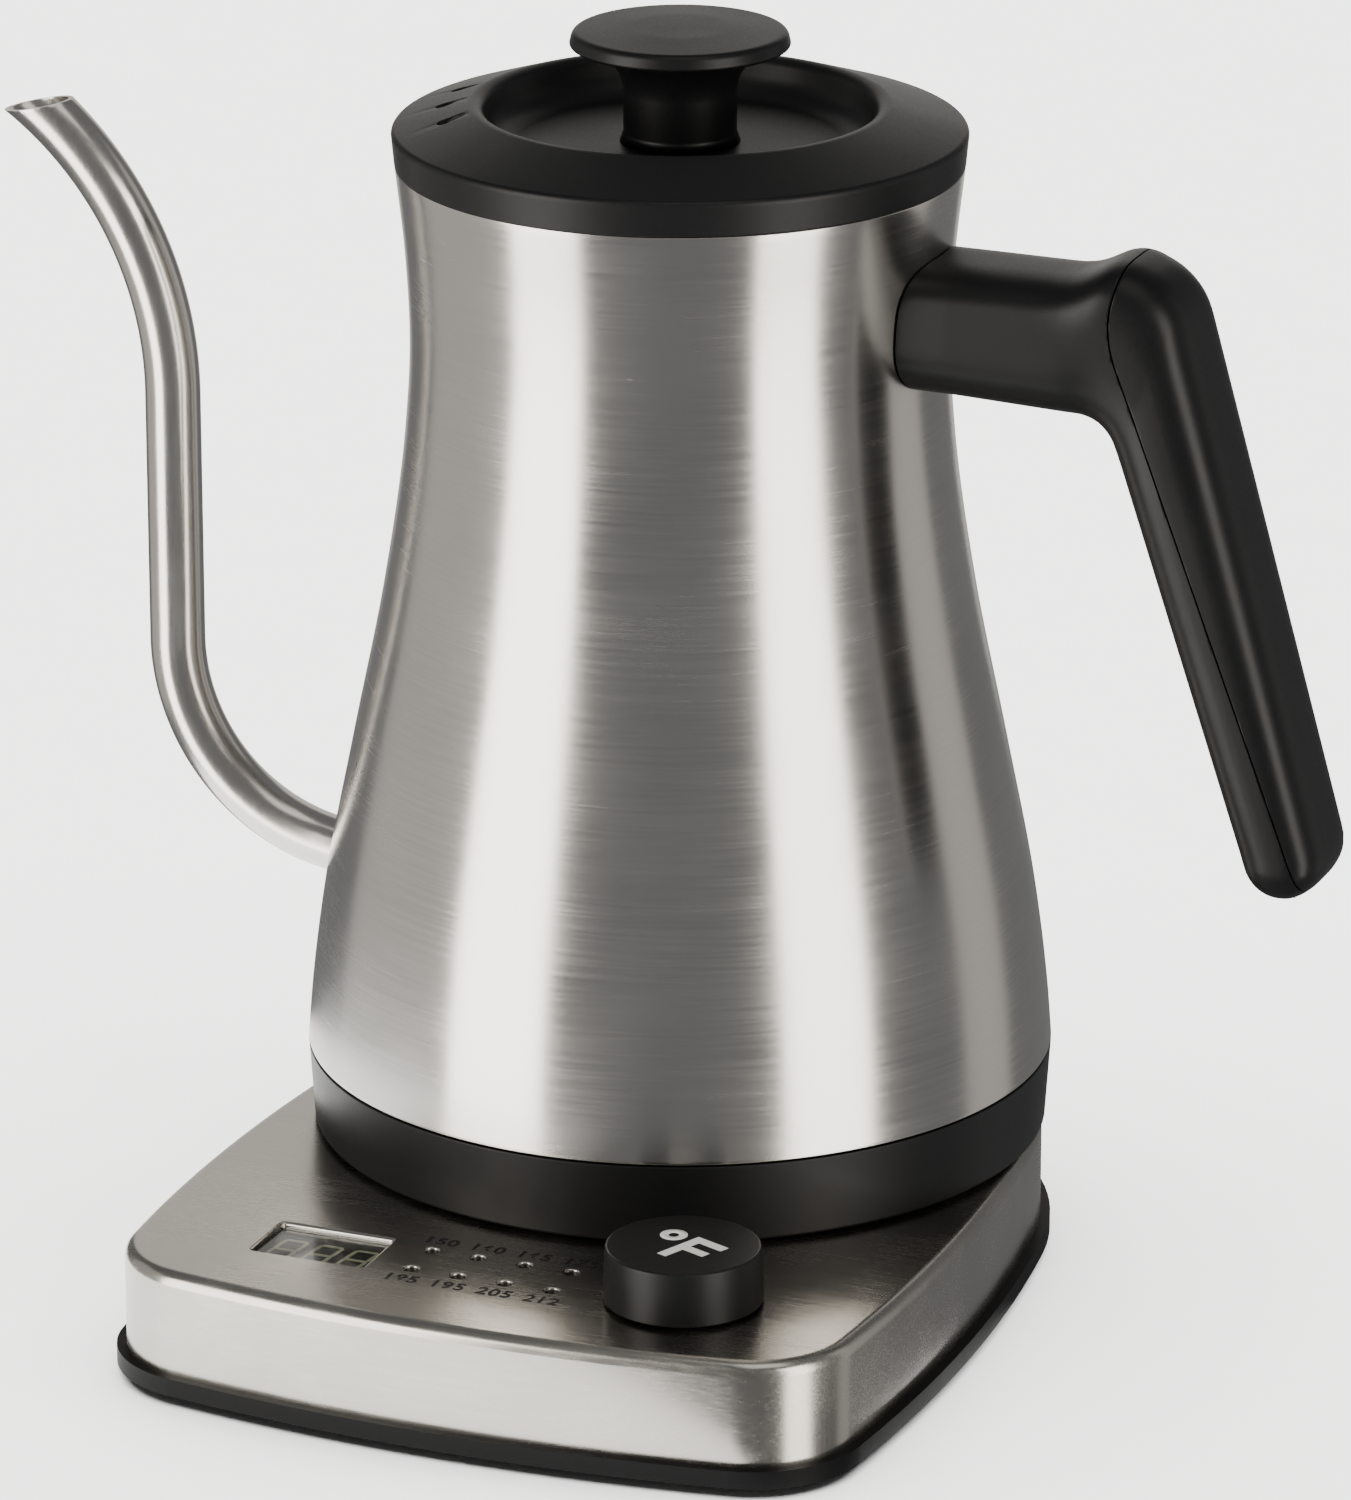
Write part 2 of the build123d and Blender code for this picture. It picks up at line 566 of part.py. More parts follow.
with BuildPart() as base_tray:
    with BuildSketch(level(FOOT_HEIGHT)):
        add(base_outline(0))
    extrude(amount=RIM_TOP - FOOT_HEIGHT)
    with BuildSketch(level(TRAY_FLOOR)):
        add(base_outline(TRAY_RIM_WALL))
    extrude(amount=RIM_TOP - TRAY_FLOOR, mode=Mode.SUBTRACT)
    with BuildSketch(level(TRAY_FLOOR)):
        add(base_outline(COVER_INSET + COVER_WALL + RUNNING_GAP))
        add(base_outline(TRAY_RIM_WALL), mode=Mode.SUBTRACT)
    extrude(amount=TRAY_LIP_TOP - TRAY_FLOOR)
    with Locations(level(FOOT_HEIGHT)):
        with Locations(*SCREW_PLACES):
            Cylinder(BASE_SCREW, TRAY_FLOOR, align=STANDING, mode=Mode.SUBTRACT)
            Cylinder(BASE_SCREW_HEAD, BASE_SCREW_HEAD_HEIGHT, align=STANDING, mode=Mode.SUBTRACT)
    with BuildSketch(inlet_plane.offset(BACK_RADIUS - 12)):
        Circle(GLAND_FLANGE + 2)
    extrude(amount=9.4, mode=Mode.SUBTRACT)
finish(base_tray, "base_tray")

with BuildPart() as rubber_feet:
    with BuildSketch(level(0)):
        with Locations(*FOOT_PLACES):
            Circle(FOOT_RADIUS)
    extrude(amount=FOOT_HEIGHT)
    chamfer(rubber_feet.edges().group_by(Axis.Z)[0], FOOT_CHAMFER)
finish(rubber_feet, "rubber_feet")

with BuildPart() as base_screws:
    with BuildSketch(level(FOOT_HEIGHT)):
        with Locations(*SCREW_PLACES):
            Circle(BASE_SCREW_HEAD)
    extrude(amount=BASE_SCREW_HEAD_HEIGHT)
    with BuildSketch(level(FOOT_HEIGHT)):
        with Locations(*SCREW_PLACES):
            Circle(BASE_SCREW)
    extrude(amount=BASE_SCREW_LENGTH)
finish(base_screws, "base_screws")

with BuildPart() as base_top_shell:
    with BuildSketch(level(RIM_TOP)):
        add(base_outline(COVER_INSET))
    extrude(amount=BASE_TOP - RIM_TOP)
    fillet(base_top_shell.faces().sort_by(Axis.Z)[-1].edges(), COVER_EDGE)
    offset(amount=-COVER_WALL, openings=base_top_shell.faces().sort_by(Axis.Z)[0])
    with BuildSketch(level(BASE_TOP - 2 * COVER_WALL)):
        Circle(HUB_RADIUS + 0.1)
        with Locations((KNOB_X, KNOB_Y)):
            Circle(5)
        with Locations(WINDOW_CENTRE):
            RectangleRounded(*WINDOW_SIZE, 0.6)
        with Locations(LAMP_CENTRE):
            with GridLocations(LAMP_PITCH, LAMP_PITCH, 4, 2):
                Circle(LAMP_RADIUS)
    extrude(amount=3 * COVER_WALL, mode=Mode.SUBTRACT)
    with BuildSketch(inlet_plane.offset(BACK_RADIUS - 10)):
        Circle(GLAND_RADIUS + 0.1)
    extrude(amount=15, mode=Mode.SUBTRACT)
finish(base_top_shell, "base_top_shell")

PANEL_CENTRE = (0, -87.5)
PANEL_SIZE = (112, 30)
with BuildPart() as top_carrier:
    with BuildSketch(level(CARRIER_BOTTOM)):
        add(base_outline(COVER_INSET + COVER_EDGE + 0.4))
        Circle(26, mode=Mode.SUBTRACT)
        with Locations(PANEL_CENTRE):
            RectangleRounded(*PANEL_SIZE, 3, mode=Mode.SUBTRACT)
    extrude(amount=CARRIER_TOP - CARRIER_BOTTOM)
    with BuildSketch(level(TRAY_FLOOR)):
        with Locations(*SCREW_PLACES):
            Circle(BOSS_RADIUS)
            Circle(BASE_SCREW, mode=Mode.SUBTRACT)
    extrude(amount=CARRIER_BOTTOM - TRAY_FLOOR)
finish(top_carrier, "top_carrier")

# ======================================================================
# Base: cord inlet, socket and boards
# ======================================================================
with BuildPart() as cord_gland:
    with BuildSketch(inlet_plane.offset(BACK_RADIUS - 9.5)):
        Circle(GLAND_RADIUS)
        Circle(INLET_BORE, mode=Mode.SUBTRACT)
    extrude(amount=8)
    with BuildSketch(inlet_plane.offset(BACK_RADIUS - 1.65)):
        Circle(GLAND_FLANGE)
        Circle(INLET_BORE, mode=Mode.SUBTRACT)
    extrude(amount=1.45)
finish(cord_gland, "cord_gland")

with BuildPart() as gland_nut:
    with BuildSketch(inlet_plane.offset(BACK_RADIUS - 8)):
        RegularPolygon(8, 6)
        Circle(GLAND_RADIUS, mode=Mode.SUBTRACT)
    extrude(amount=3.2)
finish(gland_nut, "gland_nut")

SOCKET_BOTTOM = 7.0
SOCKET_FLANGE = 25.0
EARTH_BORE = 2.6
CONTACT_RADIUS = 12.5
CONTACT_SIZE = (1.0, 4.0)
CONTACT_FOOT = TRAY_FLOOR + 0.5
with BuildPart() as base_socket:
    with BuildSketch(level(SOCKET_BOTTOM)):
        Circle(HUB_RADIUS)
    extrude(amount=HUB_TOP - SOCKET_BOTTOM)
    with BuildSketch(level(CARRIER_TOP - 2)):
        Circle(SOCKET_FLANGE)
    extrude(amount=2)
    with BuildSketch(level(GROOVE_FLOOR)):
        Circle(GROOVE_OUTER)
        Circle(GROOVE_INNER, mode=Mode.SUBTRACT)
    extrude(amount=HUB_TOP - GROOVE_FLOOR, mode=Mode.SUBTRACT)
    with BuildSketch(level(GROOVE_FLOOR)):
        Circle(EARTH_BORE)
    extrude(amount=HUB_TOP - GROOVE_FLOOR, mode=Mode.SUBTRACT)
    with BuildSketch(level(HUB_TOP - 1)):
        Circle(GROOVE_INNER)
        Circle(EARTH_BORE, mode=Mode.SUBTRACT)
    extrude(amount=1, mode=Mode.SUBTRACT)
    with BuildSketch(level(SOCKET_BOTTOM)):
        with PolarLocations(CONTACT_RADIUS, 3):
            Rectangle(*CONTACT_SIZE)
    extrude(amount=GROOVE_FLOOR - SOCKET_BOTTOM, mode=Mode.SUBTRACT)
    chamfer(base_socket.edges().group_by(Axis.Z)[-1].sort_by(SortBy.RADIUS)[-1], 0.8)
finish(base_socket, "base_socket")

with BuildPart() as socket_contacts:
    with BuildSketch(level(CONTACT_FOOT)):
        with PolarLocations(CONTACT_RADIUS, 3):
            Rectangle(*CONTACT_SIZE)
    extrude(amount=GROOVE_FLOOR - 0.4 - CONTACT_FOOT)
finish(socket_contacts, "socket_contacts")

with BuildPart() as socket_shutter_ring:
    with BuildSketch(level(GROOVE_FLOOR + RUNNING_GAP)):
        Circle(GROOVE_OUTER - RUNNING_GAP)
        Circle(GROOVE_INNER + RUNNING_GAP, mode=Mode.SUBTRACT)
    extrude(amount=SHUTTER_TOP - GROOVE_FLOOR - RUNNING_GAP)
finish(socket_shutter_ring, "socket_shutter_ring")

BOARD_THICK = 1.6
POWER_BOARD_Z = 8.0
POWER_BOARD_AT = (43, -2)
POWER_BOARD_SIZE = (28, 50)
TALL_PARTS = [((38, 8), (16, 20), 11.0), ((46, -17), (16, 13), 9.0)]   # place, size and height
with BuildPart() as power_board:
    with BuildSketch(level(POWER_BOARD_Z)):
        with Locations(POWER_BOARD_AT):
            Rectangle(*POWER_BOARD_SIZE)
    extrude(amount=BOARD_THICK)
    for place, size, height in TALL_PARTS:
        with BuildSketch(level(POWER_BOARD_Z + BOARD_THICK)):
            with Locations(place):
                Rectangle(*size)
        extrude(amount=height)
finish(power_board, "power_board")

CONTROL_BOARD_Z = 16.8
CONTROL_BOARD_SIZE = (106, 26)
board_top = CONTROL_BOARD_Z + BOARD_THICK
with BuildPart() as control_board:
    with BuildSketch(level(CONTROL_BOARD_Z)):
        with Locations(PANEL_CENTRE):
            RectangleRounded(*CONTROL_BOARD_SIZE, 2)
    extrude(amount=BOARD_THICK)
finish(control_board, "control_board")

WINDOW_TOP = BASE_TOP - 0.9
WINDOW_THICK = 1.2
with BuildPart() as display_window:
    with BuildSketch(level(WINDOW_TOP - WINDOW_THICK)):
        with Locations(WINDOW_CENTRE):
            RectangleRounded(WINDOW_SIZE[0] - 0.2, WINDOW_SIZE[1] - 0.2, 0.5)
    extrude(amount=WINDOW_THICK)
finish(display_window, "display_window")

with BuildPart() as display_module:
    with BuildSketch(level(board_top)):
        with Locations(WINDOW_CENTRE):
            Rectangle(*WINDOW_SIZE)
    extrude(amount=WINDOW_TOP - WINDOW_THICK - board_top)
finish(display_module, "display_module")

LAMP_TOP = BASE_TOP - 0.6
with BuildPart() as indicator_lenses:
    with BuildSketch(level(board_top)):
        with Locations(LAMP_CENTRE):
            with GridLocations(LAMP_PITCH, LAMP_PITCH, 4, 2):
                Circle(LAMP_RADIUS - 0.1)
    extrude(amount=LAMP_TOP - board_top)
finish(indicator_lenses, "indicator_lenses")

# ======================================================================
# Base: control knob on a push encoder
# ======================================================================
knob_axis = (KNOB_X, KNOB_Y)
ENCODER_SIZE = 13.0
ENCODER_TOP = BASE_TOP - COVER_WALL - 0.3
ROTOR_OUTER = 5.0
ROTOR_BOTTOM = board_top + 1.2
ROTOR_TOP = ENCODER_TOP - 1.0
SHAFT_RADIUS = 3.0
SHAFT_BOTTOM = ROTOR_BOTTOM + 0.6
FIT_GAP = 0.06
KNOB_SHELL = 1.8
KNOB_CHAMFER = 0.5
KNOB_BUSH_WALL = 2.0

with BuildPart() as encoder_body:
    with BuildSketch(level(board_top)):
        with Locations(knob_axis):
            RectangleRounded(ENCODER_SIZE, ENCODER_SIZE, 1)
    extrude(amount=ENCODER_TOP - board_top)
    with BuildSketch(level(ROTOR_BOTTOM - 0.3)):
        with Locations(knob_axis):
            Circle(ROTOR_OUTER + FIT_GAP)
    extrude(amount=ROTOR_TOP + 0.6 - ROTOR_BOTTOM, mode=Mode.SUBTRACT)
    with BuildSketch(level(ROTOR_TOP)):
        with Locations(knob_axis):
            Circle(SHAFT_RADIUS + 0.4)
    extrude(amount=2, mode=Mode.SUBTRACT)
finish(encoder_body, "encoder_body")

with BuildPart() as encoder_rotor:
    with BuildSketch(level(ROTOR_BOTTOM)):
        with Locations(knob_axis):
            Circle(ROTOR_OUTER)
            Circle(SHAFT_RADIUS + FIT_GAP, mode=Mode.SUBTRACT)
    extrude(amount=ROTOR_TOP - ROTOR_BOTTOM)
finish(encoder_rotor, "encoder_rotor")

with BuildPart() as encoder_shaft:
    with BuildSketch(level(SHAFT_BOTTOM)):
        with Locations(knob_axis):
            Circle(SHAFT_RADIUS)
    extrude(amount=KNOB_TOP - KNOB_SHELL - 0.6 - SHAFT_BOTTOM)
finish(encoder_shaft, "encoder_shaft")

with BuildPart() as control_knob:
    with BuildSketch(level(KNOB_BOTTOM)):
        with Locations(knob_axis):
            Circle(KNOB_RADIUS)
    with BuildSketch(level(KNOB_TOP)):
        with Locations(knob_axis):
            Circle(KNOB_TOP_RADIUS)
    loft()
    chamfer(control_knob.edges().sort_by(Axis.Z)[-1], KNOB_CHAMFER)
    with BuildSketch(level(KNOB_BOTTOM)):
        with Locations(knob_axis):
            Circle(KNOB_TOP_RADIUS - KNOB_SHELL)
            Circle(SHAFT_RADIUS + KNOB_BUSH_WALL, mode=Mode.SUBTRACT)
    extrude(amount=KNOB_TOP - KNOB_SHELL - KNOB_BOTTOM, mode=Mode.SUBTRACT)
    with BuildSketch(level(KNOB_BOTTOM)):
        with Locations(knob_axis):
            Circle(SHAFT_RADIUS)
    extrude(amount=KNOB_TOP - KNOB_SHELL - 0.6 - KNOB_BOTTOM, mode=Mode.SUBTRACT)
finish(control_knob, "control_knob")
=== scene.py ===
# %% [markdown]
# # Electric gooseneck kettle on its heating base
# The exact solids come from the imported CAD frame. This lesson dresses them: it gives every
# solid the finish of its real material, and builds finer pieces over the ones whose shape a
# plain solid can't show, such as the rolled spout mouth, the soft handle and the printed marks.
# The object could be left as CAD alone, but then edges stay knife sharp and steel looks grey.

# %%
import json
import math

import bmesh
import bpy
import numpy as np
from mathutils import Matrix, Vector
from mathutils.geometry import delaunay_2d_cdt

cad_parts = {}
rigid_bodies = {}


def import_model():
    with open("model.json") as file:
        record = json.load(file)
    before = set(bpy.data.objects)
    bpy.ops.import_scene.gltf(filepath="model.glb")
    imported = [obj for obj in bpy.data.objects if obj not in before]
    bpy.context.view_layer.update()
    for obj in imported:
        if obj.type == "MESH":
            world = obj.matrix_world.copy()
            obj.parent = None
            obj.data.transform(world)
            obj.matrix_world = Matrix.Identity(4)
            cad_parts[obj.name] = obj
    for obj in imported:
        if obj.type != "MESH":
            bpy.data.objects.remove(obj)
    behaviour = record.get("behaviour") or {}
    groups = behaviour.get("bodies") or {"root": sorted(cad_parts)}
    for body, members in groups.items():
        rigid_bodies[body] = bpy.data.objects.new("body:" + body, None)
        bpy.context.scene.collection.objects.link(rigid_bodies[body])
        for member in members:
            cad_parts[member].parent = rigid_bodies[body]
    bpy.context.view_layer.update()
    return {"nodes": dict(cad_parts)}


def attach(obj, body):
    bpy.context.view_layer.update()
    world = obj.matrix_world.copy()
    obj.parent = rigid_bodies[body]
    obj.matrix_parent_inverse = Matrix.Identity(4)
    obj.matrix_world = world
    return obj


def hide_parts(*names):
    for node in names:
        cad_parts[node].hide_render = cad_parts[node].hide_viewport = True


for thing in list(bpy.data.objects):
    bpy.data.objects.remove(thing)
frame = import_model()
print("solids:", len(frame["nodes"]))

# %% [markdown]
# ## Sizes
# Everything is drawn in millimetres from the kettle's own upright axis, as in the CAD, and
# turned into metres in one place. Using one set of sizes keeps the pieces and the frame alike.

# %%
MM = 0.001
AXIS_X, AXIS_Y = 4.42, 23.289
BODY_FOOT, BODY_RIM, BODY_WALL = 41.3, 210.3, 0.8
FLANK = [(70.0, 41.3), (69.3, 50), (66.76, 70), (60.94, 100), (54.86, 130), (50.61, 160),
         (49.64, 176), (50.3, 193), (52.1, 210.3)]
BASE_TOP = 25.1
RIM_TOP = 5.4
KNOB_PLACE = (35.8, -86.8)
KNOB_TOP = 35.8
LAMP_CENTRE, LAMP_PITCH, LAMP_RADIUS = (-1.46, -87.05), 9.16, 1.35
WINDOW_CENTRE, WINDOW_SIZE = (-34.8, -87.2), (22.0, 13.9)
print("kettle axis at", AXIS_X, AXIS_Y, "mm")

# %% [markdown]
# ## One function for colours and one for shader nodes
# Colours are written the way a paint chart gives them, as sRGB, and changed to linear light.
# One small function adds any node, sets it and links it, so that a material reads as a list.

# %%
def colour(code):
    """An sRGB hex code as linear red, green, blue and alpha."""
    parts = [int(code[start:start + 2], 16) / 255 for start in (1, 3, 5)]
    linear = [p / 12.92 if p <= 0.04045 else ((p + 0.055) / 1.055) ** 2.4 for p in parts]
    return (*linear, 1.0)


def add(tree, kind, inputs=None, **settings):
    """Add a node: settings are its own options, inputs are values or other nodes' outputs."""
    made = tree.nodes.new(kind)
    for key, value in settings.items():
        setattr(made, key, value)
    for key, value in (inputs or {}).items():
        if isinstance(value, bpy.types.NodeSocket):
            tree.links.new(value, made.inputs[key])
        else:
            made.inputs[key].default_value = value
    return made


print("white is", colour("#ffffff")[:3])

# %% [markdown]
# ## A surface recipe
# Real surfaces differ in three ways at once: a slow drift of tone, a fine change of gloss, and
# tiny relief. The recipe makes all three from noise measured in millimetres. `grain` is the
# size of the relief along x, y and z. A long grain across and a short one upward is brushing:
# on a round wall it reads as strokes that run round the kettle. A scanned texture could do
# this too, but it would have one size and visible joins.

# %%
# the sum of the two noises stays mostly between these
LOW_NOISE, HIGH_NOISE = 0.6, 1.4


def surface(name, code, roughness, grain, relief, metallic=0.0, drift=25, tone=0.08, gloss=0.06,
            brushed=0.0, **values):
    """A finish whose tone, gloss and relief all vary. grain, relief and drift are in mm."""
    made = bpy.data.materials.new(name)
    made.use_nodes = True
    tree = made.node_tree
    tree.nodes.clear()
    place = add(tree, "ShaderNodeTexCoord").outputs["Object"]
    sizes = [1 / (size * MM) for size in grain]
    stretch = {0: place, 1: sizes}
    scaled = add(tree, "ShaderNodeVectorMath", stretch, operation="MULTIPLY").outputs[0]
    fine_noise = {"Vector": scaled, "Scale": 1.0, "Detail": 3.0}
    fine = add(tree, "ShaderNodeTexNoise", fine_noise).outputs[0]
    slow_noise = {"Vector": place, "Scale": 1 / (drift * MM), "Detail": 2.0}
    slow = add(tree, "ShaderNodeTexNoise", slow_noise).outputs[0]
    both = add(tree, "ShaderNodeMath", {0: fine, 1: slow}, operation="ADD").outputs[0]
    dark = [part * (1 - tone) for part in colour(code)[:3]] + [1]
    light = [min(part * (1 + tone), 1) for part in colour(code)[:3]] + [1]
    spread = {0: both, 1: LOW_NOISE, 2: HIGH_NOISE}
    share = add(tree, "ShaderNodeMapRange", spread).outputs[0]
    tint = add(tree, "ShaderNodeMix", {0: share, 6: dark, 7: light}, data_type="RGBA").outputs[2]
    smoothest = max(roughness - gloss, 0.02)
    gloss_spread = {**spread, 3: smoothest, 4: roughness + gloss}
    rough = add(tree, "ShaderNodeMapRange", gloss_spread).outputs[0]
    heights = {"Height": fine, "Strength": 1.0, "Distance": relief * MM}
    bump = add(tree, "ShaderNodeBump", heights).outputs[0]
    inputs = {"Base Color": tint, "Roughness": rough, "Normal": bump, "Metallic": metallic}
    if brushed:
        inputs["Anisotropic"] = brushed
        inputs["Anisotropic Rotation"] = 0.25
        round_way = add(tree, "ShaderNodeTangent", direction_type="RADIAL", axis="Z")
        inputs["Tangent"] = round_way.outputs[0]
    shader = add(tree, "ShaderNodeBsdfPrincipled", {**inputs, **values}).outputs[0]
    add(tree, "ShaderNodeOutputMaterial", {"Surface": shader})
    return made


# %% [markdown]
# ## The finishes
# Each one is named for the real material and how it was finished, with its grain, relief and
# drift in millimetres. Steel could be given one grey and one roughness, but brushing is what
# makes its reflections run into bands, so each steel has its own grain direction. Real
# brushing is under a tenth of a millimetre wide: it is drawn about half a millimetre wide here,
# so that it shows. The black plastics, the display face and its window have a lower specular
# level than real ones: it is set so that they stay as dark as the real ones look.

# %%
SATIN = {"Specular IOR Level": 0.25}
looks = {
    # stainless steel brushed on a spinning vessel: broad soft bands of light that run up and down
    "body_steel": surface("stainless steel, brushed round", "#cfccc7", 0.24, (22, 22, 0.5), 0.0003,
                          metallic=1.0, tone=0.05, gloss=0.05, brushed=0.7),
    # sheet steel brushed in straight strokes from side to side, a little duller
    "base_steel": surface("stainless steel, brushed straight", "#b6b2ab", 0.25, (24, 0.5, 0.5),
                          0.0002, metallic=1.0, tone=0.10, gloss=0.07, drift=18),
    # drawn tube, polished then satin finished: clearer reflections than the body
    "tube_steel": surface("stainless tube, satin", "#cdcac5", 0.22, (0.6, 0.6, 6), 0.001,
                          metallic=1.0, tone=0.04, gloss=0.04),
    # mill finish steel of hidden straps and pressings
    "plain_steel": surface("sheet steel, mill finish", "#a9a8a6", 0.38, (1.2, 1.2, 1.2), 0.004,
                           metallic=1.0),
    "screw_steel": surface("zinc plated screw steel", "#b6b7b6", 0.32, (0.5, 0.5, 0.5), 0.005,
                           metallic=1.0),
    "aluminium": surface("aluminium, cast and milled", "#c5c7c9", 0.42, (0.8, 0.8, 0.8), 0.008,
                         metallic=1.0),
    "copper_contact": surface("contact copper, tinned", "#c98d62", 0.30, (0.8, 0.8, 0.8), 0.003,
                              metallic=1.0),
    # moulded plastics: a fine spark-eroded grain breaks up the shine
    "black_plastic": surface("black ABS, fine grain", "#0b0b0c", 0.40, (0.5, 0.5, 0.5), 0.005,
                             tone=0.12, **SATIN),
    "grip_plastic": surface("black nylon grip, satin", "#0a0a0b", 0.38, (0.6, 0.6, 0.6), 0.005,
                            tone=0.12, **SATIN),
    "knob_plastic": surface("black knob plastic, matt", "#0c0c0d", 0.42, (0.45, 0.45, 0.45), 0.005,
                            tone=0.12, **SATIN),
    "tray_plastic": surface("black tray plastic, grained", "#060607", 0.50, (0.7, 0.7, 0.7), 0.007,
                            tone=0.12, **{"Specular IOR Level": 0.12}),
    "rubber": surface("moulded rubber", "#1d1c1b", 0.75, (0.8, 0.8, 0.8), 0.02, tone=0.15),
    "silicone": surface("silicone seal, translucent grey", "#8f9394", 0.48, (1.0, 1.0, 1.0), 0.01,
                        tone=0.06),
    "component": surface("black thermoset moulding", "#232426", 0.50, (0.6, 0.6, 0.6), 0.01,
                         tone=0.12),
    "board": surface("circuit board, green mask", "#1f4b32", 0.38, (1.4, 1.4, 1.4), 0.01,
                     tone=0.2, drift=8),
    "display_face": surface("liquid crystal face, unlit", "#1c1e16", 0.35, (0.8, 0.8, 0.8), 0.001,
                            tone=0.15, drift=6, **{"Specular IOR Level": 0.06}),
    # smoked lens: dark until the lamp behind it is lit
    "lamp": surface("smoked lens plastic", "#0d0b0a", 0.30, (0.7, 0.7, 0.7), 0.002, tone=0.15,
                    **{"Specular IOR Level": 0.12}),
    # pale segment ink and the two printing inks
    "segment_ink": surface("display segments, pale", "#d6d7b6", 0.45, (0.3, 0.3, 0.3), 0.002,
                           tone=0.1, drift=4),
    "black_ink": surface("screen printing ink, black", "#0d0d0d", 0.55, (0.25, 0.25, 0.25), 0.003,
                         tone=0.1),
    "white_ink": surface("pad printing ink, white", "#e9e9e6", 0.50, (0.25, 0.25, 0.25), 0.003,
                         tone=0.03),
    # clear acrylic: almost no shine of its own here, so that the dark face under it shows
    "clear_window": surface("clear acrylic, polished", "#f4f6f3", 0.06, (3, 3, 3), 0.0002,
                            tone=0.01, gloss=0.02,
                            **{"Transmission Weight": 1.0, "IOR": 1.49, "Specular IOR Level": 0.03}),
}
looks["brushed_steel"] = looks["body_steel"]
for node in frame["nodes"].values():
    slot_name = node.data.materials[0].name.split(".")[0]
    node.data.materials[0] = looks[slot_name]
print("finishes:", len(looks))

# %% [markdown]
# ## Making a mesh piece
# A piece is built from points and faces, cleaned, shaded smooth, and tied to the CAD body that
# it moves with. The weighted normal step keeps flat faces looking flat next to small roundings.

# %%
def make_piece(name, points, faces, look=None):
    """A mesh object from points in mm measured from the kettle's axis."""
    mesh = bpy.data.meshes.new(name)
    corners = [((x + AXIS_X) * MM, (y + AXIS_Y) * MM, z * MM) for x, y, z in points]
    mesh.from_pydata(corners, [], faces)
    shape = bmesh.new()
    shape.from_mesh(mesh)
    bmesh.ops.remove_doubles(shape, verts=shape.verts, dist=0.002 * MM)
    bmesh.ops.recalc_face_normals(shape, faces=shape.faces)
    shape.to_mesh(mesh)
    shape.free()
    made = bpy.data.objects.new(name, mesh)
    bpy.context.collection.objects.link(made)
    if look:
        mesh.materials.append(looks[look])
    return made


def install(made, body, slot_name, *stands_for):
    """Shade a finished piece smooth and tie it to the frame."""
    made.data.shade_smooth()
    weights = made.modifiers.new("even shading", "WEIGHTED_NORMAL")
    weights.keep_sharp = True
    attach(made, body)
    if stands_for:
        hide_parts(*stands_for)
    print(f"{made.name}: {len(made.data.polygons)} faces on {body}")
    return made


def grid_faces(rows, columns, close_rows=True, close_columns=True):
    """Faces of a net of points, rows by columns."""
    faces = []
    for row in range(rows if close_rows else rows - 1):
        for column in range(columns if close_columns else columns - 1):
            next_row = (row + 1) % rows
            next_column = (column + 1) % columns
            faces.append((row * columns + column, row * columns + next_column,
                          next_row * columns + next_column, next_row * columns + column))
    return faces


def eased(corners, steps=6):
    """A line through (x, y, radius) corners, each corner eased to an arc of its radius."""
    line = []
    for index, (x, y, radius) in enumerate(corners):
        here = np.array([x, y], float)
        if radius == 0:
            line.append(here)
            continue
        back = np.array(corners[index - 1][:2]) - here
        on = np.array(corners[(index + 1) % len(corners)][:2]) - here
        back /= np.linalg.norm(back)
        on /= np.linalg.norm(on)
        half = math.acos(np.clip(back @ on, -1, 1)) / 2
        middle = (back + on) / np.linalg.norm(back + on) * radius / math.sin(half)
        first = back * radius / math.tan(half) - middle
        last = on * radius / math.tan(half) - middle
        turn = math.pi - 2 * half
        for step in range(steps + 1):
            share = step / steps
            mixed = math.sin((1 - share) * turn) * first + math.sin(share * turn) * last
            line.append(here + middle + mixed / math.sin(turn))
    return np.array(line)


def turned(name, outline, look, centre=(0, 0), segments=256):
    """A solid of revolution: the closed (radius, height) outline swept round an upright line."""
    points = []
    for step in range(segments):
        angle = 2 * math.pi * step / segments
        way_x, way_y = math.cos(angle), math.sin(angle)
        points += [(centre[0] + r * way_x, centre[1] + r * way_y, z) for r, z in outline]
    return make_piece(name, points, grid_faces(segments, len(outline)), look)


def prism(name, outline, along, start, end, look=None):
    """A straight solid: the outline in the two other directions, run from start to end."""
    points = []
    for level in (start, end):
        for a, b in outline:
            points.append({"y": (a, level, b), "z": (a, b, level)}[along])
    count = len(outline)
    faces = [tuple(range(count)), tuple(range(count, 2 * count))]
    faces += grid_faces(2, count, close_rows=False)
    return make_piece(name, points, faces, look)


def settled(made):
    """The mesh of an object once its modifiers, or its letters, are worked out."""
    bpy.context.view_layer.update()
    graph = bpy.context.evaluated_depsgraph_get()
    return bpy.data.meshes.new_from_object(made.evaluated_get(graph))


def carve(made, tool, operation="DIFFERENCE"):
    """Cut one piece with another, or keep only what they share, then drop the tool."""
    step = made.modifiers.new("carve", "BOOLEAN")
    step.operation = operation
    step.object = tool
    step.solver = "EXACT"
    result = settled(made)
    made.modifiers.remove(step)
    made.data = result
    bpy.data.objects.remove(tool)


# %% [markdown]
# ## The vessel
# One sheet of steel, spun to a waisted cone. The outline runs up the outside and back down the
# inside 0.8 mm away, with both edges rounded. The curve passes through the CAD's own points,
# each slope taken from its neighbours, so the wall stays within a hair of the solid.

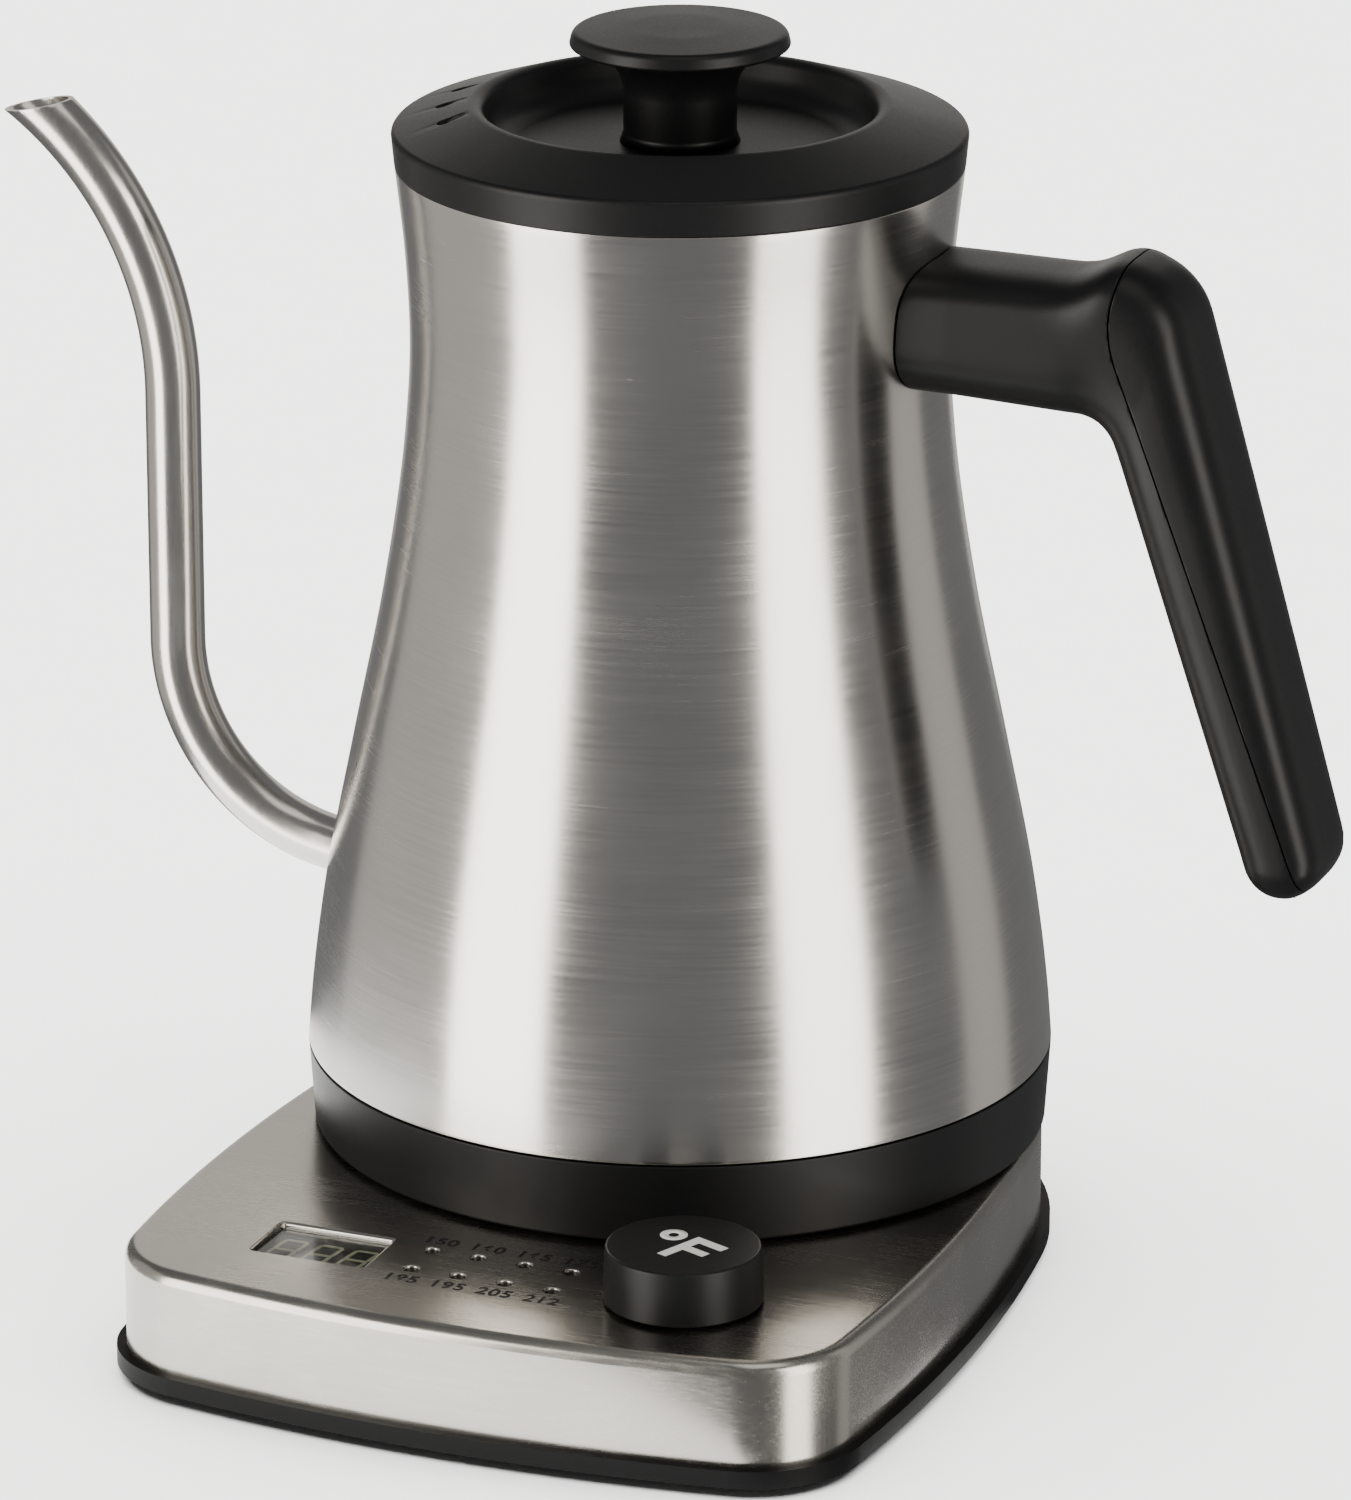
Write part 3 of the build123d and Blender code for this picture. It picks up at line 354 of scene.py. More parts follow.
# %%
def flowing(points, steps=10):
    """A smooth (radius, height) curve through the points."""
    radii, heights = np.array(points, float).T
    slopes = np.gradient(radii, heights)
    curve = []
    for index in range(len(points) - 1):
        gap = heights[index + 1] - heights[index]
        for step in range(steps):
            t = step / steps
            radius = ((2 * t**3 - 3 * t**2 + 1) * radii[index]
                      + (t**3 - 2 * t**2 + t) * gap * slopes[index]
                      + (3 * t**2 - 2 * t**3) * radii[index + 1]
                      + (t**3 - t**2) * gap * slopes[index + 1])
            curve.append((radius, heights[index] + t * gap))
    curve.append((radii[-1], heights[-1]))
    return np.array(curve)


side = flowing(FLANK)
BODY_EDGE = 0.3
EDGE_ANGLES = (0.3, 0.8, 1.3, 1.57)


def rounded_edge(radius, height, upward, angles):
    """Points that round an outer corner of the wall; upward is 1 at the rim and -1 at the foot."""
    return [(radius - BODY_EDGE * (1 - math.cos(a)), height - upward * BODY_EDGE * (1 - math.sin(a)))
            for a in angles]


outside = side[(side[:, 1] > BODY_FOOT + BODY_EDGE) & (side[:, 1] < BODY_RIM - BODY_EDGE)]
inside = outside[::-1] - [BODY_WALL, 0]
rim = rounded_edge(side[-1][0], BODY_RIM, 1, EDGE_ANGLES)
foot = rounded_edge(side[0][0], BODY_FOOT, -1, EDGE_ANGLES[::-1])
vessel_outline = [*foot, *outside, *rim, (side[-1][0] - BODY_WALL, BODY_RIM), *inside,
                  (side[0][0] - BODY_WALL, BODY_FOOT)]
vessel = turned("vessel", vessel_outline, "body_steel", segments=288)

# %% [markdown]
# ## The spout
# A steel tube bent twice: out of the vessel, up beside it, then outward to a mouth that is
# cut nearly level. It is made as rings along the tube's middle line, outside and bore, with
# the mouth trimmed by a plane and its edge rounded so that it catches a line of light.

# %%
SPOUT_RADIUS, SPOUT_BORE = 5.25, 4.55
RUN_X, RUN_TOP, LOWER_BEND, UPPER_BEND = -103.3, 155.0, 38.0, 67.0
ROOT = np.array([-58.0, 65.8])
ROOT_LEAN = math.radians(12.5)
MOUTH, MOUTH_TILT = (-130.1, 208.3), math.radians(12.3)

corner_z = ROOT[1] + (ROOT[0] - RUN_X) * math.tan(ROOT_LEAN)
wall_x = -66.7
wall_z = ROOT[1] + (ROOT[0] - wall_x) * math.tan(ROOT_LEAN)
lower_corners = [(wall_x, wall_z, 0), (RUN_X, corner_z, LOWER_BEND), (RUN_X, RUN_TOP, 0)]
lower_run = eased(lower_corners, steps=40)
upper_turn = np.radians(np.linspace(1, 62, 62))
bend_x = RUN_X - UPPER_BEND * (1 - np.cos(upper_turn))
bend_z = RUN_TOP + UPPER_BEND * np.sin(upper_turn)
upper_run = np.stack([bend_x, bend_z], 1)
spout_line = np.concatenate([lower_run, upper_run])
directions = np.gradient(spout_line, axis=0)
directions /= np.linalg.norm(directions, axis=1)[:, None]
directions[0] = (-math.cos(ROOT_LEAN), math.sin(ROOT_LEAN))


def tube_points(line, ways, radius, count):
    """Rings of points round a line that lies in the x-z plane."""
    points = []
    for (x, z), (way_x, way_z) in zip(line, ways):
        for step in range(count):
            angle = 2 * math.pi * step / count
            across = radius * math.cos(angle)
            points.append((x - way_z * across, radius * math.sin(angle), z + way_x * across))
    return points


RING = 64
outer = tube_points(spout_line, directions, SPOUT_RADIUS, RING)
inner = tube_points(spout_line, directions, SPOUT_BORE, RING)
rings = len(spout_line)
faces = grid_faces(rings, RING, close_rows=False)
faces += [tuple(index + rings * RING for index in face) for face in faces]
for end in (0, (rings - 1) * RING):
    for step in range(RING):
        here = end + step
        beside = end + (step + 1) % RING
        faces.append((here, beside, rings * RING + beside, rings * RING + here))
spout = make_piece("spout", outer + inner, faces, "tube_steel")

mouth = np.array([MOUTH[0], 0, MOUTH[1]])
upward = np.array([-math.sin(MOUTH_TILT), 0, math.cos(MOUTH_TILT)])
level_way = np.array([math.cos(MOUTH_TILT), 0, math.sin(MOUTH_TILT)])
block = [mouth + level_way * a + np.array([0, b, 0]) + upward * c for c in (0, 30) for a, b in
         ((-25, -25), (25, -25), (25, 25), (-25, 25))]
trim = make_piece("trim", block, [(0, 1, 2, 3), (4, 5, 6, 7)] + grid_faces(2, 4, close_rows=False))
carve(spout, trim)
lip = spout.modifiers.new("rounded lip", "BEVEL")
lip.width = 0.22 * MM
lip.segments = 2
lip.limit_method = "ANGLE"
lip.angle_limit = math.radians(50)
install(spout, "kettle", "brushed_steel", "spout_tube")

# the bore runs from 6 mm inside the wall to 3 mm outside it, along the tube's own lean
bore_line = [(wall_x + 6, wall_z - 1.33), (wall_x - 3, wall_z + 0.67)]
bore_points = tube_points(bore_line, [directions[0]] * 2, SPOUT_BORE, RING)
bore_ends = [tuple(range(RING)), tuple(range(RING, 2 * RING))]
carve(vessel, make_piece("bore", bore_points, grid_faces(2, RING, close_rows=False) + bore_ends))
install(vessel, "kettle", "brushed_steel", "kettle_body")

# %% [markdown]
# ## The joint of spout and vessel
# The tube is welded in and the seam dressed smooth, which leaves a small fillet of metal. It is
# a thin ring that follows the round wall of the vessel.

# %%
def wall_radius(height):
    """The vessel's outside radius at a height."""
    return float(np.interp(height, side[:, 1], side[:, 0]))


bead_points = []
BEAD, BEAD_SIDES = 0.55, 10
for step in range(RING):
    angle = 2 * math.pi * step / RING
    y = (SPOUT_RADIUS + 0.1) * math.sin(angle)
    z = wall_z + 0.15 + (SPOUT_RADIUS + 0.2) * math.cos(angle)
    x = -math.sqrt(wall_radius(z)**2 - y**2)
    for turn in range(BEAD_SIDES):
        swing = 2 * math.pi * turn / BEAD_SIDES
        grow = BEAD * math.cos(swing)
        bead_points.append((x - BEAD * math.sin(swing), y + grow * math.sin(angle),
                            z + grow * math.cos(angle)))
bead = make_piece("spout_bead", bead_points, grid_faces(RING, BEAD_SIDES), "tube_steel")
install(bead, "kettle", "brushed_steel")

# %% [markdown]
# ## The handle
# Two moulded shells round a steel strap. The soft shape is a row of rounded sections: each one
# spans from a point on the lower line to a point on the upper line, and is as wide as the hand
# grip there. The flatter upper half and rounder lower half come from the power in the section's
# curve. One solid is then parted in two along the real seam, with a shadow gap between them.

# %%
GRIP_END_X, GRIP_END_Z, GRIP_END_EDGE = 122.4, 85.9, 7.0
# corners of the two lines with the radius of each bend
UPPER_LINE = [(54, 198.0, 0), (78.5, 198.0, 16), (87.5, 202.7, 7.6), (98.6, 197.9, 14),
              (130.5, GRIP_END_Z, 7.7), (GRIP_END_X, GRIP_END_Z, 0)]
LOWER_LINE = [(54, 173.7, 0), (84.9, 172.2, 8), (114.4, GRIP_END_Z, 7.7),
              (GRIP_END_X, GRIP_END_Z, 0)]
# places that face each other across the handle, so that the sections stay square to it
UPPER_MARKS = [(54, 198.0), (78, 198.3), (99.8, 193.5), (128.6, 92.5), (GRIP_END_X, GRIP_END_Z)]
LOWER_MARKS = [(54, 173.7), (77.5, 172.6), (87.6, 164.4), (112.2, 92.5), (GRIP_END_X, GRIP_END_Z)]
STATIONS = [12, 28, 56, 20]
WIDTHS = [15.0, 14.2, 13.4, 12.3, 12.3]
SECTION = 72
TOP_POWER, BOTTOM_POWER = 3.2, 2.7


def stations(line, marks):
    """Points along a line, so many between each mark and the next."""
    steps = np.linalg.norm(np.diff(line, axis=0), axis=1)
    lengths = np.concatenate([[0], np.cumsum(steps)])
    at_marks = [lengths[np.argmin(np.linalg.norm(line - np.array(mark), axis=1))] for mark in marks]
    places = []
    for first, last, count in zip(at_marks, at_marks[1:], STATIONS):
        places += list(np.linspace(first, last, count, endpoint=False))
    places.append(at_marks[-1])
    return np.stack([np.interp(places, lengths, line[:, axis]) for axis in (0, 1)], 1)


def filled(line, gap=0.5):
    """The same line with extra points, none further apart than the gap."""
    more = []
    for a, b in zip(line, line[1:]):
        count = max(int(np.linalg.norm(b - a) / gap), 1)
        more += [a + (b - a) * step / count for step in range(count)]
    return np.array(more + [line[-1]])


upper = stations(filled(eased(UPPER_LINE, 12)), UPPER_MARKS)
lower = stations(filled(eased(LOWER_LINE, 12)), LOWER_MARKS)
total = len(upper)
mark_index = np.concatenate([[0], np.cumsum(STATIONS)])
half_widths = np.interp(range(total), mark_index, WIDTHS)
grip_points = []
for index in range(total):
    middle = (upper[index] + lower[index]) / 2
    reach = (upper[index] - lower[index]) / 2
    height_left = max(middle[1] - GRIP_END_Z, 0)
    shrink = 0.0
    if height_left < GRIP_END_EDGE:
        shrink = GRIP_END_EDGE - math.sqrt(GRIP_END_EDGE**2 - (GRIP_END_EDGE - height_left)**2)
    for step in range(SECTION):
        angle = 2 * math.pi * step / SECTION
        power = 2 / (TOP_POWER if math.cos(angle) > 0 else BOTTOM_POWER)
        up = math.copysign(abs(math.cos(angle)) ** power, math.cos(angle))
        aside = math.copysign(abs(math.sin(angle)) ** power, math.sin(angle))
        x, z = middle + reach * up
        y = aside * (half_widths[index] - shrink)
        if index == 0:
            x = math.sqrt(wall_radius(z)**2 - y**2) + 0.3
        grip_points.append((x, y, z))
grip_faces = grid_faces(total, SECTION, close_rows=False) + [tuple(range(SECTION))]
PARTING = eased([(90.5, 215, 0), (86.9, 190, 24), (119.5, 103.9, 24), (129, 78, 0)], 10)
GAP = 0.35


def parting_tool(shift):
    """Everything on the outer side of the parting line."""
    outline = [(x + shift, z) for x, z in PARTING] + [(170, 78), (170, 215)]
    return prism("parting", outline, "y", -30, 30)


for name, tool, operation, node in (
        ("handle_cover", parting_tool(GAP / 2), "INTERSECT", "handle_outer_shell"),
        ("handle_arm", parting_tool(-GAP / 2), "DIFFERENCE", "handle_inner_shell")):
    shell = make_piece(name, grip_points, grip_faces, "grip_plastic")
    carve(shell, tool, operation)
    soft = shell.modifiers.new("soft seam", "BEVEL")
    soft.width = 0.35 * MM
    soft.segments = 2
    soft.limit_method = "ANGLE"
    soft.angle_limit = math.radians(45)
    install(shell, "kettle", "grip_plastic", node)

# %% [markdown]
# ## The skirt under the vessel
# A moulded black ring with a lightly rounded foot and a crisp shoulder under the steel. It
# could be a cylinder with bevels, but an outline that is turned gives each edge its own radius.

# %%
skirt_outline = eased([(66.6, 25.7, 0), (69.0, 25.7, 0.8), (70.0, 40.95, 0.25), (67.2, 40.95, 0.2),
                       (66.6, 38, 0)])
skirt = turned("skirt", skirt_outline, "black_plastic", segments=288)
install(skirt, "kettle", "black_plastic", "skirt_ring")

# %% [markdown]
# ## The lid
# A moulded black cover with a round dish, a soft raised land and three small steam vents, and
# a mushroom knob. The vents are cut through as teardrops, wide end outward.

# %%
lid_outline = eased([(10.2, 214.3, 0), (33.5, 214.3, 6), (36.6, 222.0, 2.4), (52.75, 216.7, 1.2),
                     (52.15, 210.35, 0.3), (50.2, 210.35, 0), (50.0, 214.6, 0.8), (38.2, 218.9, 2),
                     (34.8, 212.2, 4), (10.2, 212.2, 0)], 8)
lid = turned("lid_dome", lid_outline, "black_plastic", segments=288)
VENT_RING = 41.9
drop = eased([(-2.9, 0, 0.3), (0.9, -1.45, 1.4), (2.9, -1.45, 1.4), (2.9, 1.45, 1.4),
              (0.9, 1.45, 1.4)], 5)


def swung(a, b, angle):
    """A point turned by an angle about the origin."""
    return (a * math.cos(angle) - b * math.sin(angle), a * math.sin(angle) + b * math.cos(angle))


for degrees in (181.5, 197.0, 212.5):
    vent_outline = [swung(VENT_RING + a, b, math.radians(degrees)) for a, b in drop]
    carve(lid, prism("vent", vent_outline, "z", 212, 226))
install(lid, "lid", "black_plastic", "lid_cover")

mushroom = eased([(0, 214.4, 0), (11.0, 214.4, 0), (10.35, 216.2, 1.2), (10.4, 230.6, 8.0),
                  (18.9, 231.7, 0.5), (20.25, 232.3, 0.6), (19.6, 234.9, 1.5), (9.0, 235.6, 40),
                  (0, 235.7, 0)], 8)
lid_handle = turned("lid_handle", mushroom, "black_plastic", segments=192)
install(lid_handle, "lid", "black_plastic", "lid_knob")

# %% [markdown]
# ## The base's outline
# Seen from above: a round back that follows the kettle, long bowed sides, and a bowed front
# with rounded corners. Every part of it is an arc, so moving the line inward only needs each
# point's own outward direction.

# %%
def arc(centre, radius, start, end, count):
    """Points of an arc with their outward directions, in degrees from start to end."""
    rows = []
    for degrees in np.linspace(start, end, count):
        way = np.array([math.cos(math.radians(degrees)), math.sin(math.radians(degrees))])
        rows.append((np.array(centre) + radius * way, way))
    return rows


def heading(vector):
    """The direction of a vector in degrees."""
    return math.degrees(math.atan2(vector[1], vector[0]))


HALF_WIDTH, WIDEST_Y, SIDE_RADIUS = 74.3, -52.6, 420.0
FRONT_Y, FRONT_BOW, CORNER = -116.9, 7.5, 21.3
side_centre = np.array([HALF_WIDTH - SIDE_RADIUS, WIDEST_Y])
back_radius = SIDE_RADIUS - math.hypot(*side_centre)
corner_y = FRONT_Y + FRONT_BOW
corner_x = side_centre[0] + math.sqrt(SIDE_RADIUS**2 - (corner_y - WIDEST_Y)**2)
front_radius = (corner_x**2 + FRONT_BOW**2) / (2 * FRONT_BOW)
front_centre = np.array([0.0, FRONT_Y + front_radius])
apart = np.linalg.norm(front_centre - side_centre)
from_side, from_front = SIDE_RADIUS - CORNER, front_radius - CORNER
along_line = (from_side**2 - from_front**2 + apart**2) / (2 * apart)
between = (front_centre - side_centre) / apart
off_line = math.sqrt(from_side**2 - along_line**2)
corner_centre = side_centre + between * along_line + np.array([between[1], -between[0]]) * off_line
join = heading(-side_centre)
side_end = heading(corner_centre - side_centre)
front_start = heading(corner_centre - front_centre)
right_half = (arc((0, 0), back_radius, 90, join, 40)[:-1]
              + arc(side_centre, SIDE_RADIUS, join, side_end, 50)[:-1]
              + arc(corner_centre, CORNER, side_end, front_start, 24)[:-1]
              + arc(front_centre, front_radius, front_start, -90, 24))
left_half = [(point * [-1, 1], way * [-1, 1]) for point, way in right_half[1:-1][::-1]]
base_line = right_half + left_half


def base_ring(inset, height):
    """The base's outline moved in by the inset, at a height."""
    return [(*(point - way * inset), height) for point, way in base_line]


print("base outline of", len(base_line), "points,", round(2 * HALF_WIDTH, 1), "mm wide")

# %% [markdown]
# ## The steel cover of the base
# A drawn steel cover: upright side, rounded top edge, flat top with openings for the display,
# eight lamps, the control knob and the socket. The openings have small rolled edges, which is
# what makes each one show as a bright arc. The flat top is filled with triangles between the
# outline and the openings; cutting them with booleans would leave ragged shading.

# %%
def rounded_box(centre, size, radius, steps=5):
    """A rectangle with rounded corners, as points seen from above."""
    half_x, half_y = size[0] / 2, size[1] / 2
    corners = [(centre[0] + a * half_x, centre[1] + b * half_y, radius)
               for a, b in ((1, 1), (-1, 1), (-1, -1), (1, -1))]
    return eased(corners, steps)


def round_hole(centre, radius, count=40):
    """A circle as points seen from above."""
    turns = np.linspace(0, 2 * math.pi, count, endpoint=False)
    return np.stack([centre[0] + radius * np.cos(turns), centre[1] + radius * np.sin(turns)], 1)


lamp_places = [(LAMP_CENTRE[0] + (column - 1.5) * LAMP_PITCH,
                LAMP_CENTRE[1] + (row - 0.5) * LAMP_PITCH) for row in (0, 1) for column in range(4)]
# each opening is a stack of loops with a height; the edge is rolled, so the first loops are wider
openings = [[(round_hole(place, LAMP_RADIUS + grow), BASE_TOP - down) for grow, down in
             ((0.38, 0), (0.2, 0.05), (0.06, 0.17), (0, 0.35), (0, 1.1))] for place in lamp_places]
openings.append([(rounded_box(WINDOW_CENTRE, [size + 2 * grow for size in WINDOW_SIZE], 0.6 + grow),
                  BASE_TOP - down) for grow, down in
                 ((0.75, 0), (0.45, 0.1), (0.15, 0.32), (0, 0.65), (0, 2.0))])
openings.append([(round_hole(KNOB_PLACE, 5.0, 48), BASE_TOP - down) for down in (0, 0.8)])
openings.append([(round_hole((0, 0), 21.8 + grow, 128), BASE_TOP - down) for grow, down in
                 ((0.3, 0), (0.08, 0.1), (0, 0.3), (0, 0.8))])

EDGE = 2.6
INSET = 1.85
levels = [(0.0, RIM_TOP), (0.0, BASE_TOP - EDGE)]
levels += [(EDGE * (1 - math.cos(a)), BASE_TOP - EDGE * (1 - math.sin(a)))
           for a in np.radians(range(9, 91, 9))]
cover_points = [point for inset, height in levels for point in base_ring(INSET + inset, height)]
cover_faces = grid_faces(len(levels), len(base_line), close_rows=False)


def within(points, loop):
    """For each point, whether it lies inside the loop."""
    x, y = points[:, 0], points[:, 1]
    found = np.zeros(len(points), bool)
    for (ax, ay), (bx, by) in zip(loop, np.roll(loop, -1, axis=0)):
        if ay != by:
            crosses = (ay > y) != (by > y)
            found ^= crosses & (x < (bx - ax) * (y - ay) / (by - ay) + ax)
    return found


outer_loop = np.array([point[:2] for point in base_ring(INSET + EDGE, BASE_TOP)])
loops = [outer_loop] + [opening[0][0] for opening in openings]
flat_points = [tuple(point) for loop in loops for point in loop]
flat_edges = []
for loop in loops:
    first = len(flat_edges)
    flat_edges += [(first + i, first + (i + 1) % len(loop)) for i in range(len(loop))]
flat_vectors = [Vector(point) for point in flat_points]
found_points, _, triangles, *_ = delaunay_2d_cdt(flat_vectors, flat_edges, [], 0, 1e-6)
found = np.array([tuple(point) for point in found_points])
middles = np.array([found[list(triangle)].mean(axis=0) for triangle in triangles])
kept = within(middles, loops[0])
for loop in loops[1:]:
    kept &= ~within(middles, loop)
first = len(cover_points)
cover_points += [(x, y, BASE_TOP) for x, y in found]
cover_faces += [tuple(first + i for i in triangle)
                for triangle, keep in zip(triangles, kept) if keep]
for opening in openings:
    first = len(cover_points)
    count = len(opening[0][0])
    cover_points += [(x, y, height) for loop, height in opening for x, y in loop]
    cover_faces += [tuple(first + i for i in face)
                    for face in grid_faces(len(opening), count, close_rows=False)]
cover = make_piece("base_cover", cover_points, cover_faces, "base_steel")
INLET_RADIUS, INLET_HEIGHT, INLET_DEPTH = 5.6, 14.5, 8
inlet_circle = round_hole((0, 0), INLET_RADIUS)
sides = len(inlet_circle)
inlet_points = [(x, back_radius + level, INLET_HEIGHT + z) for level in (-INLET_DEPTH, 5)
                for x, z in inlet_circle]
inlet_faces = [tuple(range(sides)), tuple(range(sides, 2 * sides))]
inlet_faces += grid_faces(2, sides, close_rows=False)
carve(cover, make_piece("inlet", inlet_points, inlet_faces))


# the cover is a thin sheet, so the cut leaves a cup of the tool behind it, which is taken away
def in_cup(place):
    """Whether a corner of the cover belongs to the cup's inner end."""
    aside = math.hypot(place.x / MM - AXIS_X, place.z / MM - INLET_HEIGHT)
    inward = place.y / MM - AXIS_Y < back_radius - INLET_DEPTH + 1
    return place.y > 0 and inward and aside < INLET_RADIUS + 0.2


cover_shape = bmesh.new()
cover_shape.from_mesh(cover.data)
cup = [corner for corner in cover_shape.verts if in_cup(corner.co)]
bmesh.ops.delete(cover_shape, geom=cup, context="VERTS")
cover_shape.to_mesh(cover.data)
cover_shape.free()
print("cup corners taken from the inlet:", len(cup))
install(cover, "base", "brushed_steel", "base_top_shell")

# %% [markdown]
# ## Display
# A dark face with three slanted digits of seven segments, under a clear window. Each segment
# is a thin raised strip of pale ink; they are all drawn, as on a display that is switched off.

# %%
def segment(start, end, half):
    """A thin strip with pointed ends between two points."""
    start, end = np.array(start, float), np.array(end, float)
    way = (end - start) / np.linalg.norm(end - start)
    across = np.array([-way[1], way[0]]) * half
    near, far = start + way * half, end - way * half
    return [start, near + across, far + across, end, far - across, near - across]


DIGIT = (4.3, 4.3)
DIGIT_PITCH = 7.0
SLANT = 0.14
STROKE = 0.36
INK_LOW, INK_HIGH = 23.02, 23.1
ink_points, ink_faces = [], []
for digit in range(3):
    left = WINDOW_CENTRE[0] - 9.6 + digit * DIGIT_PITCH
    low = WINDOW_CENTRE[1] - 5.8
    ends = [((0, row), (1, row)) for row in (0, 1, 2)]
    ends += [((column, row), (column, row + 1)) for column in (0, 1) for row in (0, 1)]
    for start, end in ends:
        places = [(left + c * DIGIT[0], low + r * DIGIT[1]) for c, r in (start, end)]
        strip = segment(*places, STROKE)
        strip = [(x + (y - low) * SLANT, y) for x, y in strip]
        first = len(ink_points)
        ink_points += [(x, y, z) for z in (INK_LOW, INK_HIGH) for x, y in strip]
        ink_faces += [tuple(first + i for i in range(6)), tuple(first + i for i in range(6, 12))]
        ink_faces += [tuple(first + i for i in face) for face in grid_faces(2, 6, close_rows=False)]
segments_piece = make_piece("display_segments", ink_points, ink_faces, "segment_ink")
install(segments_piece, "base", "display_face")

lens_line = rounded_box(WINDOW_CENTRE, (WINDOW_SIZE[0] - 0.2, WINDOW_SIZE[1] - 0.2), 0.5)
lens = prism("display_lens", lens_line, "z", 23.3, 24.1, "clear_window")
install(lens, "base", "clear_window", "display_window")

# %% [markdown]
# ## Printed marks
# Small black numbers beside each lamp, and a white degree sign and letter on the knob. They
# are flat prints a few hundredths of a millimetre thick, made as real shapes so they stay sharp.

# %%
def printed(name, text, place, size, height):
    """A line of print as a mesh, centred on a place on the base."""
    words = bpy.data.curves.new(name, "FONT")
    words.body = text
    words.size = size * MM
    words.align_x = "CENTER"
    words.align_y = "CENTER"
    words.extrude = 0.015 * MM
    words.offset = 0.1 * MM
    words.space_character = 1.12
    holder = bpy.data.objects.new(name + "_line", words)
    bpy.context.collection.objects.link(holder)
    mesh = settled(holder)
    bpy.data.objects.remove(holder)
    mesh.transform(Matrix.Translation(
        ((place[0] + AXIS_X) * MM, (place[1] + AXIS_Y) * MM, height * MM)))
    mesh.materials.clear()
    mesh.materials.append(looks["black_ink"])
    made = bpy.data.objects.new(name, mesh)
    bpy.context.collection.objects.link(made)
    return made


NUMBERS = ["185", "195", "205", "212", "150", "160", "165", "175"]
NUMBER_SIZE, PRINT_HEIGHT = 4.2, 0.02
ABOVE, BELOW = 4.3, -4.9
for number, (lamp_x, lamp_y) in zip(NUMBERS, lamp_places):
    number_place = (lamp_x, lamp_y + (ABOVE if lamp_y > LAMP_CENTRE[1] else BELOW))
    print_piece = printed("print_" + number, number, number_place, NUMBER_SIZE,
                          BASE_TOP + PRINT_HEIGHT)
    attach(print_piece, "base")

dial_outline = eased([(0, 31.8, 0), (12.9, 31.8, 0), (12.9, 25.7, 0), (14.45, 25.7, 0.3),
                      (14.1, KNOB_TOP, 0.55), (0, KNOB_TOP, 0)])
dial = turned("dial", dial_outline, "knob_plastic", KNOB_PLACE, 128)
install(dial, "knob", "knob_plastic", "control_knob")

INK_THICKNESS = 0.04
LETTER = [(0, 0), (7.5, 0), (7.5, -2.1), (2.1, -2.1), (2.1, -4.2), (6.9, -4.2), (6.9, -6.2),
          (2.1, -6.2), (2.1, -10.6), (0, -10.6)]
LETTER_PLACE, LETTER_TURN = (37.0, -82.5), math.radians(-22.6)
leaning = [swung(x, y, LETTER_TURN) for x, y in LETTER]
letter_line = [(LETTER_PLACE[0] + x, LETTER_PLACE[1] + y) for x, y in leaning]
letter = prism("dial_letter", letter_line, "z", KNOB_TOP, KNOB_TOP + INK_THICKNESS, "white_ink")
install(letter, "knob", "knob_plastic")
DEGREE_PLACE, DEGREE_INNER, DEGREE_OUTER = (32.5, -83.2), 0.95, 2.5
ring_outline = [(DEGREE_INNER, KNOB_TOP), (DEGREE_OUTER, KNOB_TOP),
                (DEGREE_OUTER, KNOB_TOP + INK_THICKNESS), (DEGREE_INNER, KNOB_TOP + INK_THICKNESS)]
degree = turned("dial_degree", ring_outline, "white_ink", DEGREE_PLACE, 64)
install(degree, "knob", "knob_plastic")

# %% [markdown]
# ## Studio
# A plain pale floor under a soft light. Steel shows what is round it, so the light is planned
# as panels: a broad soft one at the left front and another at the right front give the two
# bright bands on the vessel, with quieter light between and behind them. One sky could light
# everything, but a bright floor would then fill the steel's lower half. So each panel lights
# only the object, a wide sun lights only the floor, and the floor stays out of reflections
# except for a small disc under the object, the apron, which lifts the base's sides. The floor
# is pale and even as a result, and casts no shadow.

# %%
FLOOR_RADIUS, APRON_RADIUS, APRON_CENTRE = 8.0, 0.142, (-0.058, -0.03)
RIM_COUNT = 96
floor_look = surface("studio floor, pale matt", "#f2f1ef", 0.8, (8, 8, 8), 0.01, tone=0.01)


def floor_part(name, points, faces):
    """A flat piece of floor from points in metres."""
    part = bpy.data.objects.new(name, bpy.data.meshes.new(name))
    part.data.from_pydata([(x, y, 0) for x, y in points], [], faces)
    part.data.materials.append(floor_look)
    part.visible_shadow = False
    bpy.context.collection.objects.link(part)
    return part


apron_rim = round_hole(APRON_CENTRE, APRON_RADIUS, RIM_COUNT)
apron = floor_part("apron", apron_rim, [tuple(range(RIM_COUNT))])
floor_rim = round_hole((0, 0), FLOOR_RADIUS, RIM_COUNT)
floor = floor_part("floor", [*apron_rim, *floor_rim], grid_faces(2, RIM_COUNT, close_rows=False))
floor.visible_glossy = False

world = bpy.data.worlds.new("studio")
world.use_nodes = True
bpy.context.scene.world = world
world.node_tree.nodes["Background"].inputs["Color"].default_value = colour("#f4f5f7")
world.node_tree.nodes["Background"].inputs["Strength"].default_value = 0.21

CAMERA_SIDE = 22.056
TARGET = Vector((0.00442, 0.02329, 0.0967))


def around(degrees, distance, height):
    """A place round the kettle; 0 is the camera's side and positive is to its right."""
    angle = math.radians(CAMERA_SIDE + degrees)
    return Vector((TARGET.x + distance * math.sin(angle), TARGET.y - distance * math.cos(angle),
                   height))


